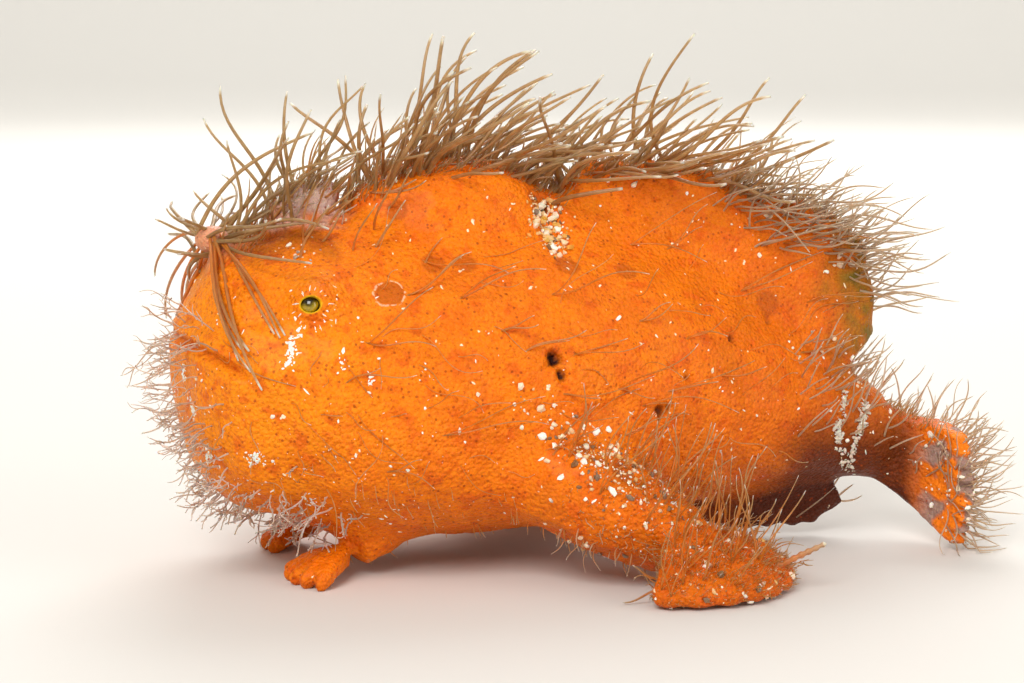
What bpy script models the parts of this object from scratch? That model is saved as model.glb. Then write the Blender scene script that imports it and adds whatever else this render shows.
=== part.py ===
# A young painted frogfish at life size, resting on its four arm-like fins as a museum model shows it.
# The head points to -X, the tail to +X, the fish's left side to -Y and up is +Z.
# Everything is modelled in millimetres, and the last step scales it to metres.
# The flesh is shaped whole, then parted by thin cuts into head, lower jaw, torso, tail stalk and hump.
# Fins, arms and spines are seated on that flesh, and the skin filaments are fused to what they grow from.

import math
import random

import bmesh
import bpy
import numpy as np
from mathutils import Matrix, Vector
from mathutils.bvhtree import BVHTree

MM = 0.001
GAP = 0.3
OBJECT_NAME = "frogfish"

# Body: sizes in millimetres, each line a list of (x, size) knots from the nose to the tail stalk.
NOSE_X = -25.3
NOSE_ROUND = 4.2
STALK_END_X = 29.8
STALK_ROUND = 1.5
BACK_LINE = (
    (-26, 22.0), (-21, 23.8), (-13, 25.4), (-5, 25.3), (4, 24.6), (12, 22.4), (19, 18.8), (25, 14.2), (31, 10.4)
)
BELLY_LINE = (
    (-26, 6.6), (-21, 5.0), (-13, 2.6), (-5, 2.1), (4, 2.3), (12, 3.2), (19, 4.4), (25, 4.9), (31, 4.6)
)
HALF_WIDTH = (
    (-26, 8.4), (-21, 9.9), (-13, 12.0), (-5, 12.3), (4, 11.5), (12, 9.4), (19, 6.8), (25, 4.4), (31, 2.4)
)
WIDEST_LINE = ((-26, 15.0), (-21, 13.5), (-13, 12.2), (-5, 11.6), (12, 11.5), (25, 9.4), (31, 7.5))
SIDEWAYS_LINE = ((-26, 0.0), (16, 0.0), (24, -0.8), (31, -3.0))
BACK_POWER = 1.85
BELLY_POWER = 2.3
BODY_SIDES = 40
BODY_STEP = 2.0
NOSE_STEPS = 7

# Flesh finish: the size of the cells that melt the shapes together, and the triangles kept.
MELT_CELL = 0.5
MELT_SMOOTHING = 7
FLESH_TRIANGLES = 3300

# Mouth: the line in the XZ plane that parts the lower jaw from the head, from the lips to the throat.
MOUTH_LINE = (
    (-27.0, 18.1), (-25.0, 17.4), (-22.6, 16.3), (-20.3, 14.4), (-18.6, 10.5), (-17.6, 6.0), (-17.2, 1.0)
)
LIP_RADIUS = 0.62
LIP_POINTS = 13
LIP_ARC = 136
LIP_START_Z = 17.2
UPPER_LIP_RISE = 0.62
LOWER_LIP_RISE = -0.66

# The other thin cuts that part the flesh, from the top down or from front to back.
NECK_LINE = ((-13.4, 34.0), (-13.2, 26.0), (-13.6, 12.0), (-14.4, -2.0))
RUMP_LINE = ((21.5, 26.0), (20.4, 12.0), (19.0, -2.0))
CUT_HALF_WIDTH = 20.0

EYE_CENTRE = Vector((-16.7, 8.5, 20.2))
EYE_RADIUS = 0.85
BROW_RADIUS = 2.0
LID_RADIUS = 0.33
NOSTRILS = (Vector((-22.0, 4.6, 21.6)), Vector((-20.6, 6.2, 20.9)))
NOSTRIL_RADIUS = 0.4
NOSTRIL_RIM = 0.22

HUMP_CENTRE = Vector((-4.9, 0.0, 24.9))
HUMP_RADII = Vector((8.3, 4.3, 5.1))
HUMP_CUT_Z = 25.5
SADDLE_CENTRE = Vector((1.0, 0.0, 24.6))
SADDLE_RADII = Vector((4.3, 3.5, 3.1))

ARM_ROOT = Vector((-3.4, 6.2, 9.4))
LURE_CENTRE = Vector((-22.4, -0.3, 24.2))

SHOULDER = Vector((1.0, 10.2, 7.4))
ELBOW = Vector((5.0, 12.3, 5.1))
WRIST = Vector((8.8, 13.4, 3.4))
ARM_RADII = (3.2, 3.9, 3.5, 2.7)
FINGERS = 9
FINGER_ROOT = 1.2
FINGER_REACH = 8.0
FINGER_START_TURN = -122
FINGER_SPREAD = 128
RIGHT_HAND_TURN = -9.0
KNUCKLE_LENGTH = 1.1
KNUCKLE_RADIUS = 1.6

HIP = Vector((-10.4, 3.8, 3.6))
ANKLE = Vector((-13.2, 5.4, 1.9))
PELVIC_RADII = (1.9, 1.7, 1.5)
TOES = 5
TOE_ROOT = 0.6
TOE_REACH = 4.8
TOE_START_TURN = 152
TOE_SPREAD = 84

# Fins: how many rays, then the thickness at root and edge and the height of the ray ridges.
DORSAL_RAYS = 12
ANAL_RAYS = 7
TAIL_RAYS = 9
DORSAL_SKIN = (3.8, 0.9, 0.6)
ANAL_SKIN = (1.9, 0.7, 0.45)
TAIL_SKIN = (2.8, 0.9, 0.6)
HAND_SKIN = (1.5, 0.7, 0.55)
FOOT_SKIN = (1.3, 0.65, 0.45)
TAIL_ROOT = Vector((28.3, -1.9, 7.4))
TAIL_LENGTH = 10.0
TAIL_START_TURN = math.radians(28)
TAIL_BEND = math.radians(72)

FILAMENT_RADIUS = 0.28
SHORT_FILAMENT_RADIUS = 0.25
FILAMENT_SINK = 0.75
FILAMENT_TRIES = 24
FILAMENT_STRAY = 0.25
FLOOR_CLEARANCE = 0.1
SKIN_CLEARANCE = 0.12
FIN_HAIR_LINE = ((3.0, 26.6), (8.0, 27.2), (16.0, 25.8), (25.0, 22.0), (28.0, 15.0))

# The coat: how many filaments each patch of skin carries, and their shortest and longest length.
HUMP_COAT = (38, 6.0, 10.0)
DORSAL_COAT = (32, 6.0, 9.0)
DORSAL_REAR_COAT = (18, 4.0, 6.0)
SECOND_SPINE_COAT = (7, 4.5, 7.5)
LURE_UP_COAT = (7, 6.0, 9.0)
LURE_AHEAD_COAT = (6, 3.5, 5.5)
LURE_DOWN_COAT = (9, 7.0, 9.5)
BROW_COAT = (13, 4.0, 7.0)
SNOUT_COAT = (8, 2.5, 4.0)
CHIN_COAT = (26, 2.6, 4.6)
BACK_COAT = (12, 5.0, 7.5)
FLANK_COAT = (14, 4.5, 6.5)
BELLY_COAT = (8, 1.8, 3.2)
ARM_COAT = (9, 4.0, 6.5)
HAND_COAT = (7, 2.5, 4.5)
TAIL_COAT = (28, 3.0, 5.5)
STALK_COAT = (8, 3.0, 5.0)

SKIN_ORANGE = (0.90, 0.28, 0.02)
FILAMENT_BROWN = (0.33, 0.22, 0.12)
SPINE_PINK = (0.62, 0.42, 0.38)
EYE_OLIVE = (0.16, 0.15, 0.03)


def clear_scene():
    for thing in list(bpy.data.objects):
        bpy.data.objects.remove(thing)
    for group in list(bpy.data.collections):
        bpy.data.collections.remove(group)


def skin_material(name, colour, roughness):
    """A Principled finish for one sub-part."""
    finish = bpy.data.materials.new(name)
    finish.use_nodes = True
    shader = finish.node_tree.nodes["Principled BSDF"]
    shader.inputs["Base Color"].default_value = (*colour, 1.0)
    shader.inputs["Roughness"].default_value = roughness
    shader.inputs["Metallic"].default_value = 0.0
    finish.diffuse_color = (*colour, 1.0)
    return finish


def new_object(name, points, faces):
    mesh = bpy.data.meshes.new(name)
    mesh.from_pydata([tuple(p) for p in points], [], faces)
    mesh.update()
    thing = bpy.data.objects.new(name, mesh)
    bpy.context.scene.collection.objects.link(thing)
    return thing


def in_order(mesh):
    """The same mesh with its points and faces in a fixed order, so that each run gives the same shape."""
    points = [tuple(v.co) for v in mesh.vertices]
    order = sorted(range(len(points)), key=lambda i: tuple(round(c, 4) for c in points[i]))
    rank = {old: new for new, old in enumerate(order)}
    faces = []
    for face in mesh.polygons:
        loop = [rank[i] for i in face.vertices]
        first = loop.index(min(loop))
        faces.append(tuple(loop[first:] + loop[:first]))
    ordered = bpy.data.meshes.new(mesh.name)
    ordered.from_pydata([points[i] for i in order], [], sorted(faces))
    return ordered


def applied(thing):
    """The same object with its modifiers turned into mesh."""
    graph = bpy.context.evaluated_depsgraph_get()
    mesh = bpy.data.meshes.new_from_object(thing.evaluated_get(graph))
    thing.modifiers.clear()
    thing.data = in_order(mesh)
    return thing


def remove(things):
    for thing in things:
        bpy.data.objects.remove(thing)


def size_along(line, x):
    """The smooth size at x of a line of (x, size) knots, with no overshoot between knots."""
    xs = [knot[0] for knot in line]
    ys = [knot[1] for knot in line]
    x = min(max(x, xs[0]), xs[-1])
    slopes = [(ys[i + 1] - ys[i]) / (xs[i + 1] - xs[i]) for i in range(len(xs) - 1)]
    tangents = [slopes[0]]
    for before, after in zip(slopes, slopes[1:]):
        tangents.append(2 * before * after / (before + after) if before * after > 0 else 0.0)
    tangents.append(slopes[-1])
    i = max(k for k in range(len(xs) - 1) if xs[k] <= x)
    step = xs[i + 1] - xs[i]
    t = (x - xs[i]) / step
    return (
        ys[i] * (1 + 2 * t) * (1 - t) ** 2
        + ys[i + 1] * t * t * (3 - 2 * t)
        + step * tangents[i] * t * (1 - t) ** 2
        - step * tangents[i + 1] * t * t * (1 - t)
    )


def round_end(distance, length):
    """How far a section has opened at this distance from a rounded end, from 0 to 1."""
    share = min(distance / length, 1.0)
    return math.sqrt(max(1.0 - (1.0 - share) ** 2, 0.0))


def signed_power(value, power):
    return math.copysign(abs(value) ** power, value)


def body_section(x, sides):
    """One cross-section of the body: broad at the cheeks and flanks, narrower towards the back."""
    opened = min(round_end(x - NOSE_X, NOSE_ROUND), round_end(STALK_END_X - x, STALK_ROUND))
    middle = size_along(WIDEST_LINE, x)
    above = (size_along(BACK_LINE, x) - middle) * opened
    below = (middle - size_along(BELLY_LINE, x)) * opened
    width = size_along(HALF_WIDTH, x) * opened
    sideways = size_along(SIDEWAYS_LINE, x)
    ring = []
    for i in range(sides):
        angle = 2 * math.pi * i / sides
        up = math.sin(angle)
        power = 2 / (BACK_POWER if up > 0 else BELLY_POWER)
        height = above if up > 0 else below
        y = width * signed_power(math.cos(angle), power)
        ring.append(Vector((x, sideways + y, middle + height * signed_power(up, power))))
    return ring


def loft(name, rings):
    """A closed skin over rings of the same count, each end closed by a fan round its middle."""
    sides = len(rings[0])
    points = [p for ring in rings for p in ring]
    faces = []
    for r in range(len(rings) - 1):
        for i in range(sides):
            j = (i + 1) % sides
            a, b = r * sides, (r + 1) * sides
            faces.append((a + i, a + j, b + j, b + i))
    for ring, start, turn in ((rings[0], 0, 1), (rings[-1], (len(rings) - 1) * sides, -1)):
        points.append(sum(ring, Vector()) / sides)
        middle = len(points) - 1
        for i in range(sides):
            j = (i + 1) % sides
            faces.append((middle, start + j, start + i)[::turn])
    thing = new_object(name, points, faces)
    face_outwards(thing)
    return thing


def face_outwards(thing):
    shape = bmesh.new()
    shape.from_mesh(thing.data)
    bmesh.ops.recalc_face_normals(shape, faces=shape.faces)
    if shape.calc_volume(signed=True) < 0:
        bmesh.ops.reverse_faces(shape, faces=shape.faces)
    shape.to_mesh(thing.data)
    shape.free()


def body_loft():
    """The trunk from the rounded snout to the rounded end of the tail stalk."""
    turns = [math.pi / 2 * (i + 0.5) / NOSE_STEPS for i in range(NOSE_STEPS)]
    xs = [NOSE_X + NOSE_ROUND * (1 - math.cos(turn)) for turn in turns]
    count = int((STALK_END_X - STALK_ROUND - NOSE_X - NOSE_ROUND) / BODY_STEP)
    xs += [NOSE_X + NOSE_ROUND + i * BODY_STEP for i in range(1, count)]
    xs += [STALK_END_X - STALK_ROUND * share for share in (1.0, 0.6, 0.25, 0.06)]
    return loft("body", [body_section(x, BODY_SIDES) for x in xs])


def blob(name, centre, radii, tilt=0.0, detail=16):
    """A rounded lump, leaning back by tilt about the Y axis."""
    shape = bmesh.new()
    bmesh.ops.create_uvsphere(shape, u_segments=detail, v_segments=detail // 2, radius=1.0)
    place = Matrix.Translation(centre) @ Matrix.Rotation(tilt, 4, "Y") @ Matrix.Diagonal((*radii, 1.0))
    bmesh.ops.transform(shape, matrix=place, verts=shape.verts)
    mesh = bpy.data.meshes.new(name)
    shape.to_mesh(mesh)
    shape.free()
    thing = bpy.data.objects.new(name, in_order(mesh))
    bpy.context.scene.collection.objects.link(thing)
    return thing


def tube_rings(path, radii, sides):
    """Rings round a path, turned as little as the path allows. A radius of 0 at the end makes a point."""
    rings = []
    side = None
    for i, point in enumerate(path):
        ahead = (path[min(i + 1, len(path) - 1)] - path[max(i - 1, 0)]).normalized()
        if side is None:
            side = ahead.orthogonal().normalized()
        side = (side - ahead * side.dot(ahead)).normalized()
        other = ahead.cross(side)
        ring = []
        for k in range(sides):
            angle = 2 * math.pi * k / sides
            ring.append(point + (side * math.cos(angle) + other * math.sin(angle)) * radii[i])
        rings.append(ring)
    return rings


def tube(name, path, radii, sides=12):
    return loft(name, tube_rings(path, radii, sides))


def spike(name, path, radii, sides=3):
    """A thin tapering tube that ends in a point: one filament."""
    rings = tube_rings(path, radii, sides)[:-1]
    points = [p for ring in rings for p in ring] + [path[-1]]
    faces = [tuple(reversed(range(sides)))]
    for r in range(len(rings) - 1):
        for i in range(sides):
            j = (i + 1) % sides
            a, b = r * sides, (r + 1) * sides
            faces += [(a + i, a + j, b + j), (a + i, b + j, b + i)]
    last = (len(rings) - 1) * sides
    tip = len(points) - 1
    faces += [(last + i, last + (i + 1) % sides, tip) for i in range(sides)]
    thing = new_object(name, points, faces)
    face_outwards(thing)
    return thing


def fin(name, sheet, rays, skin, rows=5, scallop=0.07, columns_per_ray=2):
    """A fin whose rays are ridges in its own surface. sheet(u, v) is its middle surface, root to edge in v."""
    root_thick, edge_thick, ridge = skin
    columns = rays * columns_per_ray
    front, back = [], []
    for i in range(columns + 1):
        u = i / columns
        ray = math.sin(math.pi * u * rays) ** 2
        for j in range(rows + 1):
            v = j / rows
            reach = v * (1 - scallop + scallop * ray * 2 * v)
            centre = sheet(u, reach)
            across = sheet(min(u + 0.01, 1), reach) - sheet(max(u - 0.01, 0), reach)
            outward = sheet(u, reach + 0.01) - sheet(u, max(reach - 0.01, 0))
            normal = across.cross(outward).normalized()
            half = (root_thick + (edge_thick - root_thick) * v + ridge * ray * (1 - 0.4 * v)) / 2
            front.append(centre + normal * half)
            back.append(centre - normal * half)
    points = front + back
    behind = len(front)
    faces = []
    for i in range(columns):
        for j in range(rows):
            a = i * (rows + 1) + j
            b, c, d = a + rows + 1, a + rows + 2, a + 1
            faces += [(a, b, c), (a, c, d)]
            faces += [(behind + a, behind + c, behind + b), (behind + a, behind + d, behind + c)]
    rim = [i * (rows + 1) for i in range(columns + 1)]
    rim += [columns * (rows + 1) + j for j in range(1, rows + 1)]
    rim += [i * (rows + 1) + rows for i in reversed(range(columns))]
    rim += [j for j in reversed(range(1, rows))]
    for k, a in enumerate(rim):
        b = rim[(k + 1) % len(rim)]
        faces += [(a, behind + a, behind + b), (a, behind + b, b)]
    thing = new_object(name, points, faces)
    face_outwards(thing)
    return thing


def stand_flat(thing):
    """Presses what reaches below the floor into small flats at floor level."""
    for vertex in thing.data.vertices:
        vertex.co.z = max(vertex.co.z, 0.0)


def both_sides(point):
    """The same place on the fish's left and right: left is -Y."""
    return (("left", Vector((point.x, -point.y, point.z))), ("right", point.copy()))


def merged(name, things):
    """One mesh that holds all these closed shapes, still overlapping."""
    points, faces = [], []
    for thing in things:
        start = len(points)
        points += [v.co.copy() for v in thing.data.vertices]
        faces += [tuple(start + i for i in face.vertices) for face in thing.data.polygons]
    remove(things)
    return new_object(name, points, faces)


def melted(thing, cell, smoothing, triangles):
    """The overlapping shapes melted into one smooth closed surface of about that many triangles."""
    remesh = thing.modifiers.new("melt", "REMESH")
    remesh.mode = "VOXEL"
    remesh.voxel_size = cell
    smooth = thing.modifiers.new("soften", "SMOOTH")
    smooth.factor = 0.5
    smooth.iterations = smoothing
    applied(thing)
    lighter = thing.modifiers.new("lighten", "DECIMATE")
    lighter.ratio = triangles / (2 * len(thing.data.polygons))
    lighter.use_collapse_triangulate = True
    applied(thing)
    return thing


def swollen(thing, by):
    """A copy grown outwards by a small distance, to cut what sits on it with a gap."""
    copy = thing.copy()
    copy.data = thing.data.copy()
    bpy.context.scene.collection.objects.link(copy)
    grow = copy.modifiers.new("grow", "DISPLACE")
    grow.strength = by
    grow.mid_level = 0.0
    return applied(copy)


def cut(thing, cutter):
    """Takes the cutter's space out of the object."""
    boolean = thing.modifiers.new("cut", "BOOLEAN")
    boolean.operation = "DIFFERENCE"
    boolean.solver = "EXACT"
    boolean.object = cutter
    return applied(thing)


def islands(thing):
    """The separate closed bodies of a mesh, each as (points, faces), largest first."""
    shape = bmesh.new()
    shape.from_mesh(thing.data)
    shape.verts.ensure_lookup_table()
    seen = set()
    found = []
    for start in shape.verts:
        if start.index in seen or not start.link_faces:
            continue
        stack, members = [start], []
        seen.add(start.index)
        while stack:
            vertex = stack.pop()
            members.append(vertex)
            for edge in vertex.link_edges:
                other = edge.other_vert(vertex)
                if other.index not in seen:
                    seen.add(other.index)
                    stack.append(other)
        number = {vertex.index: k for k, vertex in enumerate(members)}
        faces = {face for vertex in members for face in vertex.link_faces}
        ordered = sorted(faces, key=lambda face: face.index)
        corners = [tuple(number[v.index] for v in face.verts) for face in ordered]
        found.append(([v.co.copy() for v in members], corners))
    shape.free()
    return sorted(found, key=lambda body: -spread(body[0]))


def spread(points):
    low = [min(p[k] for p in points) for k in range(3)]
    high = [max(p[k] for p in points) for k in range(3)]
    return math.dist(low, high)


def largest_body(thing):
    """Keeps the largest closed surface only, so that a sealed hollow fills and a scrap drops off."""
    bodies = islands(thing)
    if len(bodies) > 1:
        points, faces = bodies[0]
        mesh = bpy.data.meshes.new(thing.name)
        mesh.from_pydata([tuple(p) for p in points], [], faces)
        thing.data = in_order(mesh)
    return thing


def seated(thing, *carriers):
    """Cuts a piece to sit on what carries it, with the small gap between them."""
    for carrier in carriers:
        cutter = swollen(carrier, GAP)
        cut(thing, cutter)
        remove([cutter])
    return largest_body(thing)


def united(thing, pieces):
    """Fuses closed pieces to the object with one Boolean union and drops the loose ones."""
    if not pieces:
        return thing
    group = bpy.data.collections.new("to_fuse")
    bpy.context.scene.collection.children.link(group)
    for piece in pieces:
        bpy.context.scene.collection.objects.unlink(piece)
        group.objects.link(piece)
    boolean = thing.modifiers.new("fuse", "BOOLEAN")
    boolean.operation = "UNION"
    boolean.solver = "EXACT"
    boolean.operand_type = "COLLECTION"
    boolean.collection = group
    applied(thing)
    for piece in list(group.objects):
        bpy.data.objects.remove(piece)
    bpy.data.collections.remove(group)
    return largest_body(thing)


def thin_sheet(name, line, half_width):
    """A cutter: a sheet as thick as the gap, along a line in the XZ plane and reaching across the fish."""
    points = [Vector((x, 0.0, z)) for x, z in line]
    rows = []
    for i, point in enumerate(points):
        ahead = points[min(i + 1, len(points) - 1)] - points[max(i - 1, 0)]
        up = Vector((-ahead.z, 0.0, ahead.x)).normalized() * (GAP / 2)
        across = Vector((0.0, half_width, 0.0))
        rows.append([point - across - up, point + across - up, point + across + up, point - across + up])
    return loft(name, rows)


def flesh():
    """Head, trunk, hump and tail stalk as one melted surface."""
    shapes = [body_loft()]
    shapes.append(blob("hump", HUMP_CENTRE, HUMP_RADII, tilt=math.radians(4), detail=24))
    shapes.append(blob("saddle", SADDLE_CENTRE, SADDLE_RADII, detail=20))
    for side, place in both_sides(EYE_CENTRE + Vector((0.4, -0.9, -0.1))):
        shapes.append(blob(side + "_brow", place, (BROW_RADIUS,) * 3))
    for side, place in both_sides(SHOULDER + Vector((0.6, -2.2, 0.6))):
        shapes.append(blob(side + "_shoulder", place, (5.0, 3.6, 4.6)))
    for side, place in both_sides(HIP + Vector((0.8, -0.2, 0.8))):
        shapes.append(blob(side + "_hip", place, (3.2, 2.6, 2.2)))
    whole = merged("flesh", shapes)
    return melted(whole, MELT_CELL, MELT_SMOOTHING, FLESH_TRIANGLES)


def middle_of(points):
    return sum(points, Vector()) / len(points)


def parted(whole):
    """The flesh parted by thin cuts, as named nodes."""
    cuts = (
        ("mouth", MOUTH_LINE),
        ("neck", NECK_LINE),
        ("rump", RUMP_LINE),
        ("hump_base", ((-15.5, HUMP_CUT_Z), (-5.0, HUMP_CUT_Z + 0.15), (7.0, HUMP_CUT_Z))),
    )
    for name, line in cuts:
        cutter = thin_sheet(name, line, CUT_HALF_WIDTH)
        cut(whole, cutter)
        remove([cutter])
    places = {
        "head": Vector((-17.0, 0.0, 16.0)),
        "lower_jaw": Vector((-21.0, 0.0, 10.5)),
        "torso": Vector((3.0, 0.0, 13.0)),
        "tail_stalk": Vector((25.0, 0.0, 9.5)),
        "third_dorsal_spine": Vector((-5.0, 0.0, 27.5)),
    }
    bodies = islands(whole)
    nodes = {}
    for name, place in places.items():
        points, faces = min(bodies, key=lambda body: (middle_of(body[0]) - place).length)
        nodes[name] = new_object(name, points, faces)
    remove([whole])
    return nodes


def surface_of(thing):
    return BVHTree.FromObject(thing, bpy.context.evaluated_depsgraph_get())


def rim_on(name, surface, place, major, minor, segments=12):
    """A small raised rim lying on the skin round a place, as round a nostril or an eye."""
    spot, normal, _, _ = surface.find_nearest(place)
    turn = normal.to_track_quat("Z", "Y").to_euler()
    bpy.ops.mesh.primitive_torus_add(
        major_radius=major,
        minor_radius=minor,
        major_segments=segments,
        minor_segments=5,
        location=spot,
        rotation=turn,
    )
    rim = bpy.context.object
    rim.name = name
    rim.data.transform(rim.matrix_world)
    rim.matrix_world = Matrix.Identity(4)
    rim.data = in_order(rim.data)
    return rim


def lip(name, surface, above):
    """A fleshy rim along the mouth line, from corner to corner round the front of the face."""
    path = []
    for i in range(LIP_POINTS):
        turn = math.radians(-LIP_ARC / 2 + LIP_ARC * i / (LIP_POINTS - 1))
        ahead = Vector((-math.cos(turn), math.sin(turn), 0.0))
        height = LIP_START_Z
        for _ in range(4):
            start = Vector((-18.0, 0.0, height))
            spot, _, _, _ = surface.ray_cast(start + ahead * 20, -ahead)
            height = size_along(MOUTH_LINE, spot.x)
        path.append(Vector((spot.x, spot.y, height)) + Vector((0.12, 0.0, above)) - ahead * 0.15)
    ends = [abs(2 * i / (LIP_POINTS - 1) - 1) for i in range(LIP_POINTS)]
    radii = [LIP_RADIUS * (1 - 0.55 * end ** 3) for end in ends]
    return tube(name, path, radii, sides=7)


def eyes(head):
    """Eyeballs in cut sockets, with the lid rims and the nostril rims that join the head."""
    surface = surface_of(head)
    made = {}
    rims = []
    for side, centre in both_sides(EYE_CENTRE):
        spot, normal, _, _ = surface.find_nearest(centre)
        middle = spot - normal * (EYE_RADIUS * 0.45)
        made[side + "_eye"] = blob(side + "_eye", middle, (EYE_RADIUS,) * 3, detail=12)
        rims.append(rim_on(side + "_lid", surface, spot, EYE_RADIUS + 0.2, LID_RADIUS))
    for nostril in NOSTRILS:
        for side, place in both_sides(nostril):
            rims.append(rim_on(side + "_nostril", surface, place, NOSTRIL_RADIUS, NOSTRIL_RIM, segments=8))
    united(head, rims)
    for ball in made.values():
        socket = swollen(ball, GAP)
        cut(head, socket)
        remove([socket])
    return made


def dorsal_sheet(u, v):
    """The soft dorsal fin: upright in front, its last rays swept back over the tail stalk."""
    root_x = 3.6 + 21.6 * u
    root = Vector((root_x, size_along(SIDEWAYS_LINE, root_x), size_along(BACK_LINE, root_x) - 1.6))
    edge_x = size_along(((0, 4.0), (0.2, 8.2), (0.5, 16.4), (0.8, 25.4), (0.92, 28.4), (1, 28.6)), u)
    edge_line = ((0, 28.2), (0.12, 29.2), (0.3, 29.2), (0.55, 27.3), (0.8, 24.9), (0.92, 20.6), (1, 16.0))
    edge_z = size_along(edge_line, u)
    edge = Vector((edge_x, root.y, edge_z))
    sway = 0.5 * math.sin(2.2 * math.pi * u) * v
    return root.lerp(edge, v) + Vector((0.0, sway, 0.0))


def anal_sheet(u, v):
    root_x = 13.5 + 11.0 * u
    root = Vector((root_x, size_along(SIDEWAYS_LINE, root_x), size_along(BELLY_LINE, root_x) + 1.2))
    edge_x = size_along(((0, 14.2), (0.3, 18.0), (0.7, 23.2), (1, 26.6)), u)
    edge_z = size_along(((0, 1.7), (0.3, 0.8), (0.7, 0.75), (1, 2.4)), u)
    return root.lerp(Vector((edge_x, root.y, edge_z)), v)


def tail_sheet(u, v):
    """The tail fin, half closed and curled towards the fish's left."""
    bend_radius = TAIL_LENGTH / TAIL_BEND
    length = TAIL_LENGTH * (1 - 0.18 * (2 * u - 1) ** 2)
    turn = TAIL_START_TURN + v * length / bend_radius
    x = TAIL_ROOT.x + bend_radius * (math.sin(turn) - math.sin(TAIL_START_TURN))
    y = TAIL_ROOT.y - bend_radius * (math.cos(TAIL_START_TURN) - math.cos(turn))
    root_z = TAIL_ROOT.z + 4.8 * (u - 0.5)
    edge_z = 0.4 + 8.8 * u
    return Vector((x, y, root_z + (edge_z - root_z) * v))


def hand_sheet(mirror, turn):
    """A hand spread on the floor, palm down, its rays fanned from the wrist."""
    wrist = Vector((WRIST.x, WRIST.y * mirror, WRIST.z))

    def sheet(u, v):
        angle = math.radians(FINGER_START_TURN + FINGER_SPREAD * u + turn)
        reach = FINGER_ROOT + (FINGER_REACH - FINGER_ROOT) * v
        arch = 0.9 * math.sin(math.pi * v)
        height = WRIST.z - 0.4 + (0.42 - WRIST.z + 0.4) * v + arch
        y = wrist.y - mirror * reach * math.sin(angle)
        return Vector((wrist.x + reach * math.cos(angle), y, height))

    return sheet


def pelvic_sheet(mirror):
    """A pelvic fin, set down like a small foot in front of the body."""

    def sheet(u, v):
        angle = math.radians(TOE_START_TURN + TOE_SPREAD * u)
        reach = TOE_ROOT + (TOE_REACH - TOE_ROOT) * v
        height = ANKLE.z - 0.2 + (0.4 - ANKLE.z + 0.2) * v + 0.35 * math.sin(math.pi * v)
        y = mirror * (ANKLE.y - reach * math.sin(angle))
        return Vector((ANKLE.x + reach * math.cos(angle), y, height))

    return sheet


def mirrored(place, mirror):
    return Vector((place.x, place.y * mirror, place.z))


def along(knots, share):
    """The place at this share of a smooth path through evenly spaced knots."""
    steps = [i / (len(knots) - 1) for i in range(len(knots))]
    lines = [tuple((s, knot[k]) for s, knot in zip(steps, knots)) for k in range(3)]
    return Vector([size_along(line, share) for line in lines])


def limbs(whole):
    """Arms, hands and pelvic fins of both sides."""
    made = {}
    for side, mirror, turn in (("left", -1, 0.0), ("right", 1, RIGHT_HAND_TURN)):
        knots = [mirrored(p, mirror) for p in (ARM_ROOT, SHOULDER, ELBOW, WRIST)]
        path = [along(knots, i / 7) for i in range(8)]
        radii = [size_along(tuple(zip((0, 1 / 3, 2 / 3, 1), ARM_RADII)), i / 7) for i in range(8)]
        knuckle = path[-1] + (path[-1] - path[-2]).normalized() * KNUCKLE_LENGTH
        arm = tube(side + "_arm", path + [knuckle], radii + [KNUCKLE_RADIUS], sides=14)
        hand = fin(side + "_hand", hand_sheet(mirror, turn), FINGERS, HAND_SKIN, scallop=0.12)
        stand_flat(hand)
        made[side + "_arm"] = seated(arm, whole)
        made[side + "_hand"] = seated(hand, made[side + "_arm"], whole)
        leg_path = [mirrored(p, mirror) for p in (HIP, HIP.lerp(ANKLE, 0.5), ANKLE)]
        leg = tube(side + "_pelvic_fin", leg_path, PELVIC_RADII, sides=10)
        foot = fin(side + "_foot", pelvic_sheet(mirror), TOES, FOOT_SKIN, rows=4, scallop=0.12)
        stand_flat(foot)
        made[side + "_pelvic_fin"] = seated(united(leg, [foot]), whole)
    return made


def upright_fins(whole):
    made = {
        "soft_dorsal_fin": fin("soft_dorsal_fin", dorsal_sheet, DORSAL_RAYS, DORSAL_SKIN, scallop=0.04),
        "anal_fin": fin("anal_fin", anal_sheet, ANAL_RAYS, ANAL_SKIN, rows=4),
        "tail_fin": fin("tail_fin", tail_sheet, TAIL_RAYS, TAIL_SKIN, rows=6, scallop=0.06),
    }
    stand_flat(made["tail_fin"])
    for piece in made.values():
        seated(piece, whole)
    return made


def front_spines(whole):
    """The lure on its short stalk over the mouth, and the stubby second spine behind it."""
    second_places = ((-17.0, 0, 23.4), (-16.4, 0, 25.2), (-15.2, 0, 26.5), (-13.9, 0, 27.3), (-13.1, 0, 27.5))
    second_path = [Vector(place) for place in second_places]
    second = tube("second_dorsal_spine", second_path, (2.1, 2.1, 1.9, 1.3, 0.6), sides=10)
    stalk_path = [Vector(p) for p in ((-20.9, 0, 22.0), (-21.6, -0.1, 23.0), (-22.2, LURE_CENTRE.y, 23.8))]
    stalk = tube("illicium", stalk_path, (0.9, 0.8, 0.75), sides=8)
    knob = blob("knob", LURE_CENTRE, (1.25, 1.25, 1.05), detail=10)
    return {
        "second_dorsal_spine": seated(second, whole),
        "illicium": seated(united(stalk, [knob]), whole),
    }


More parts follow.
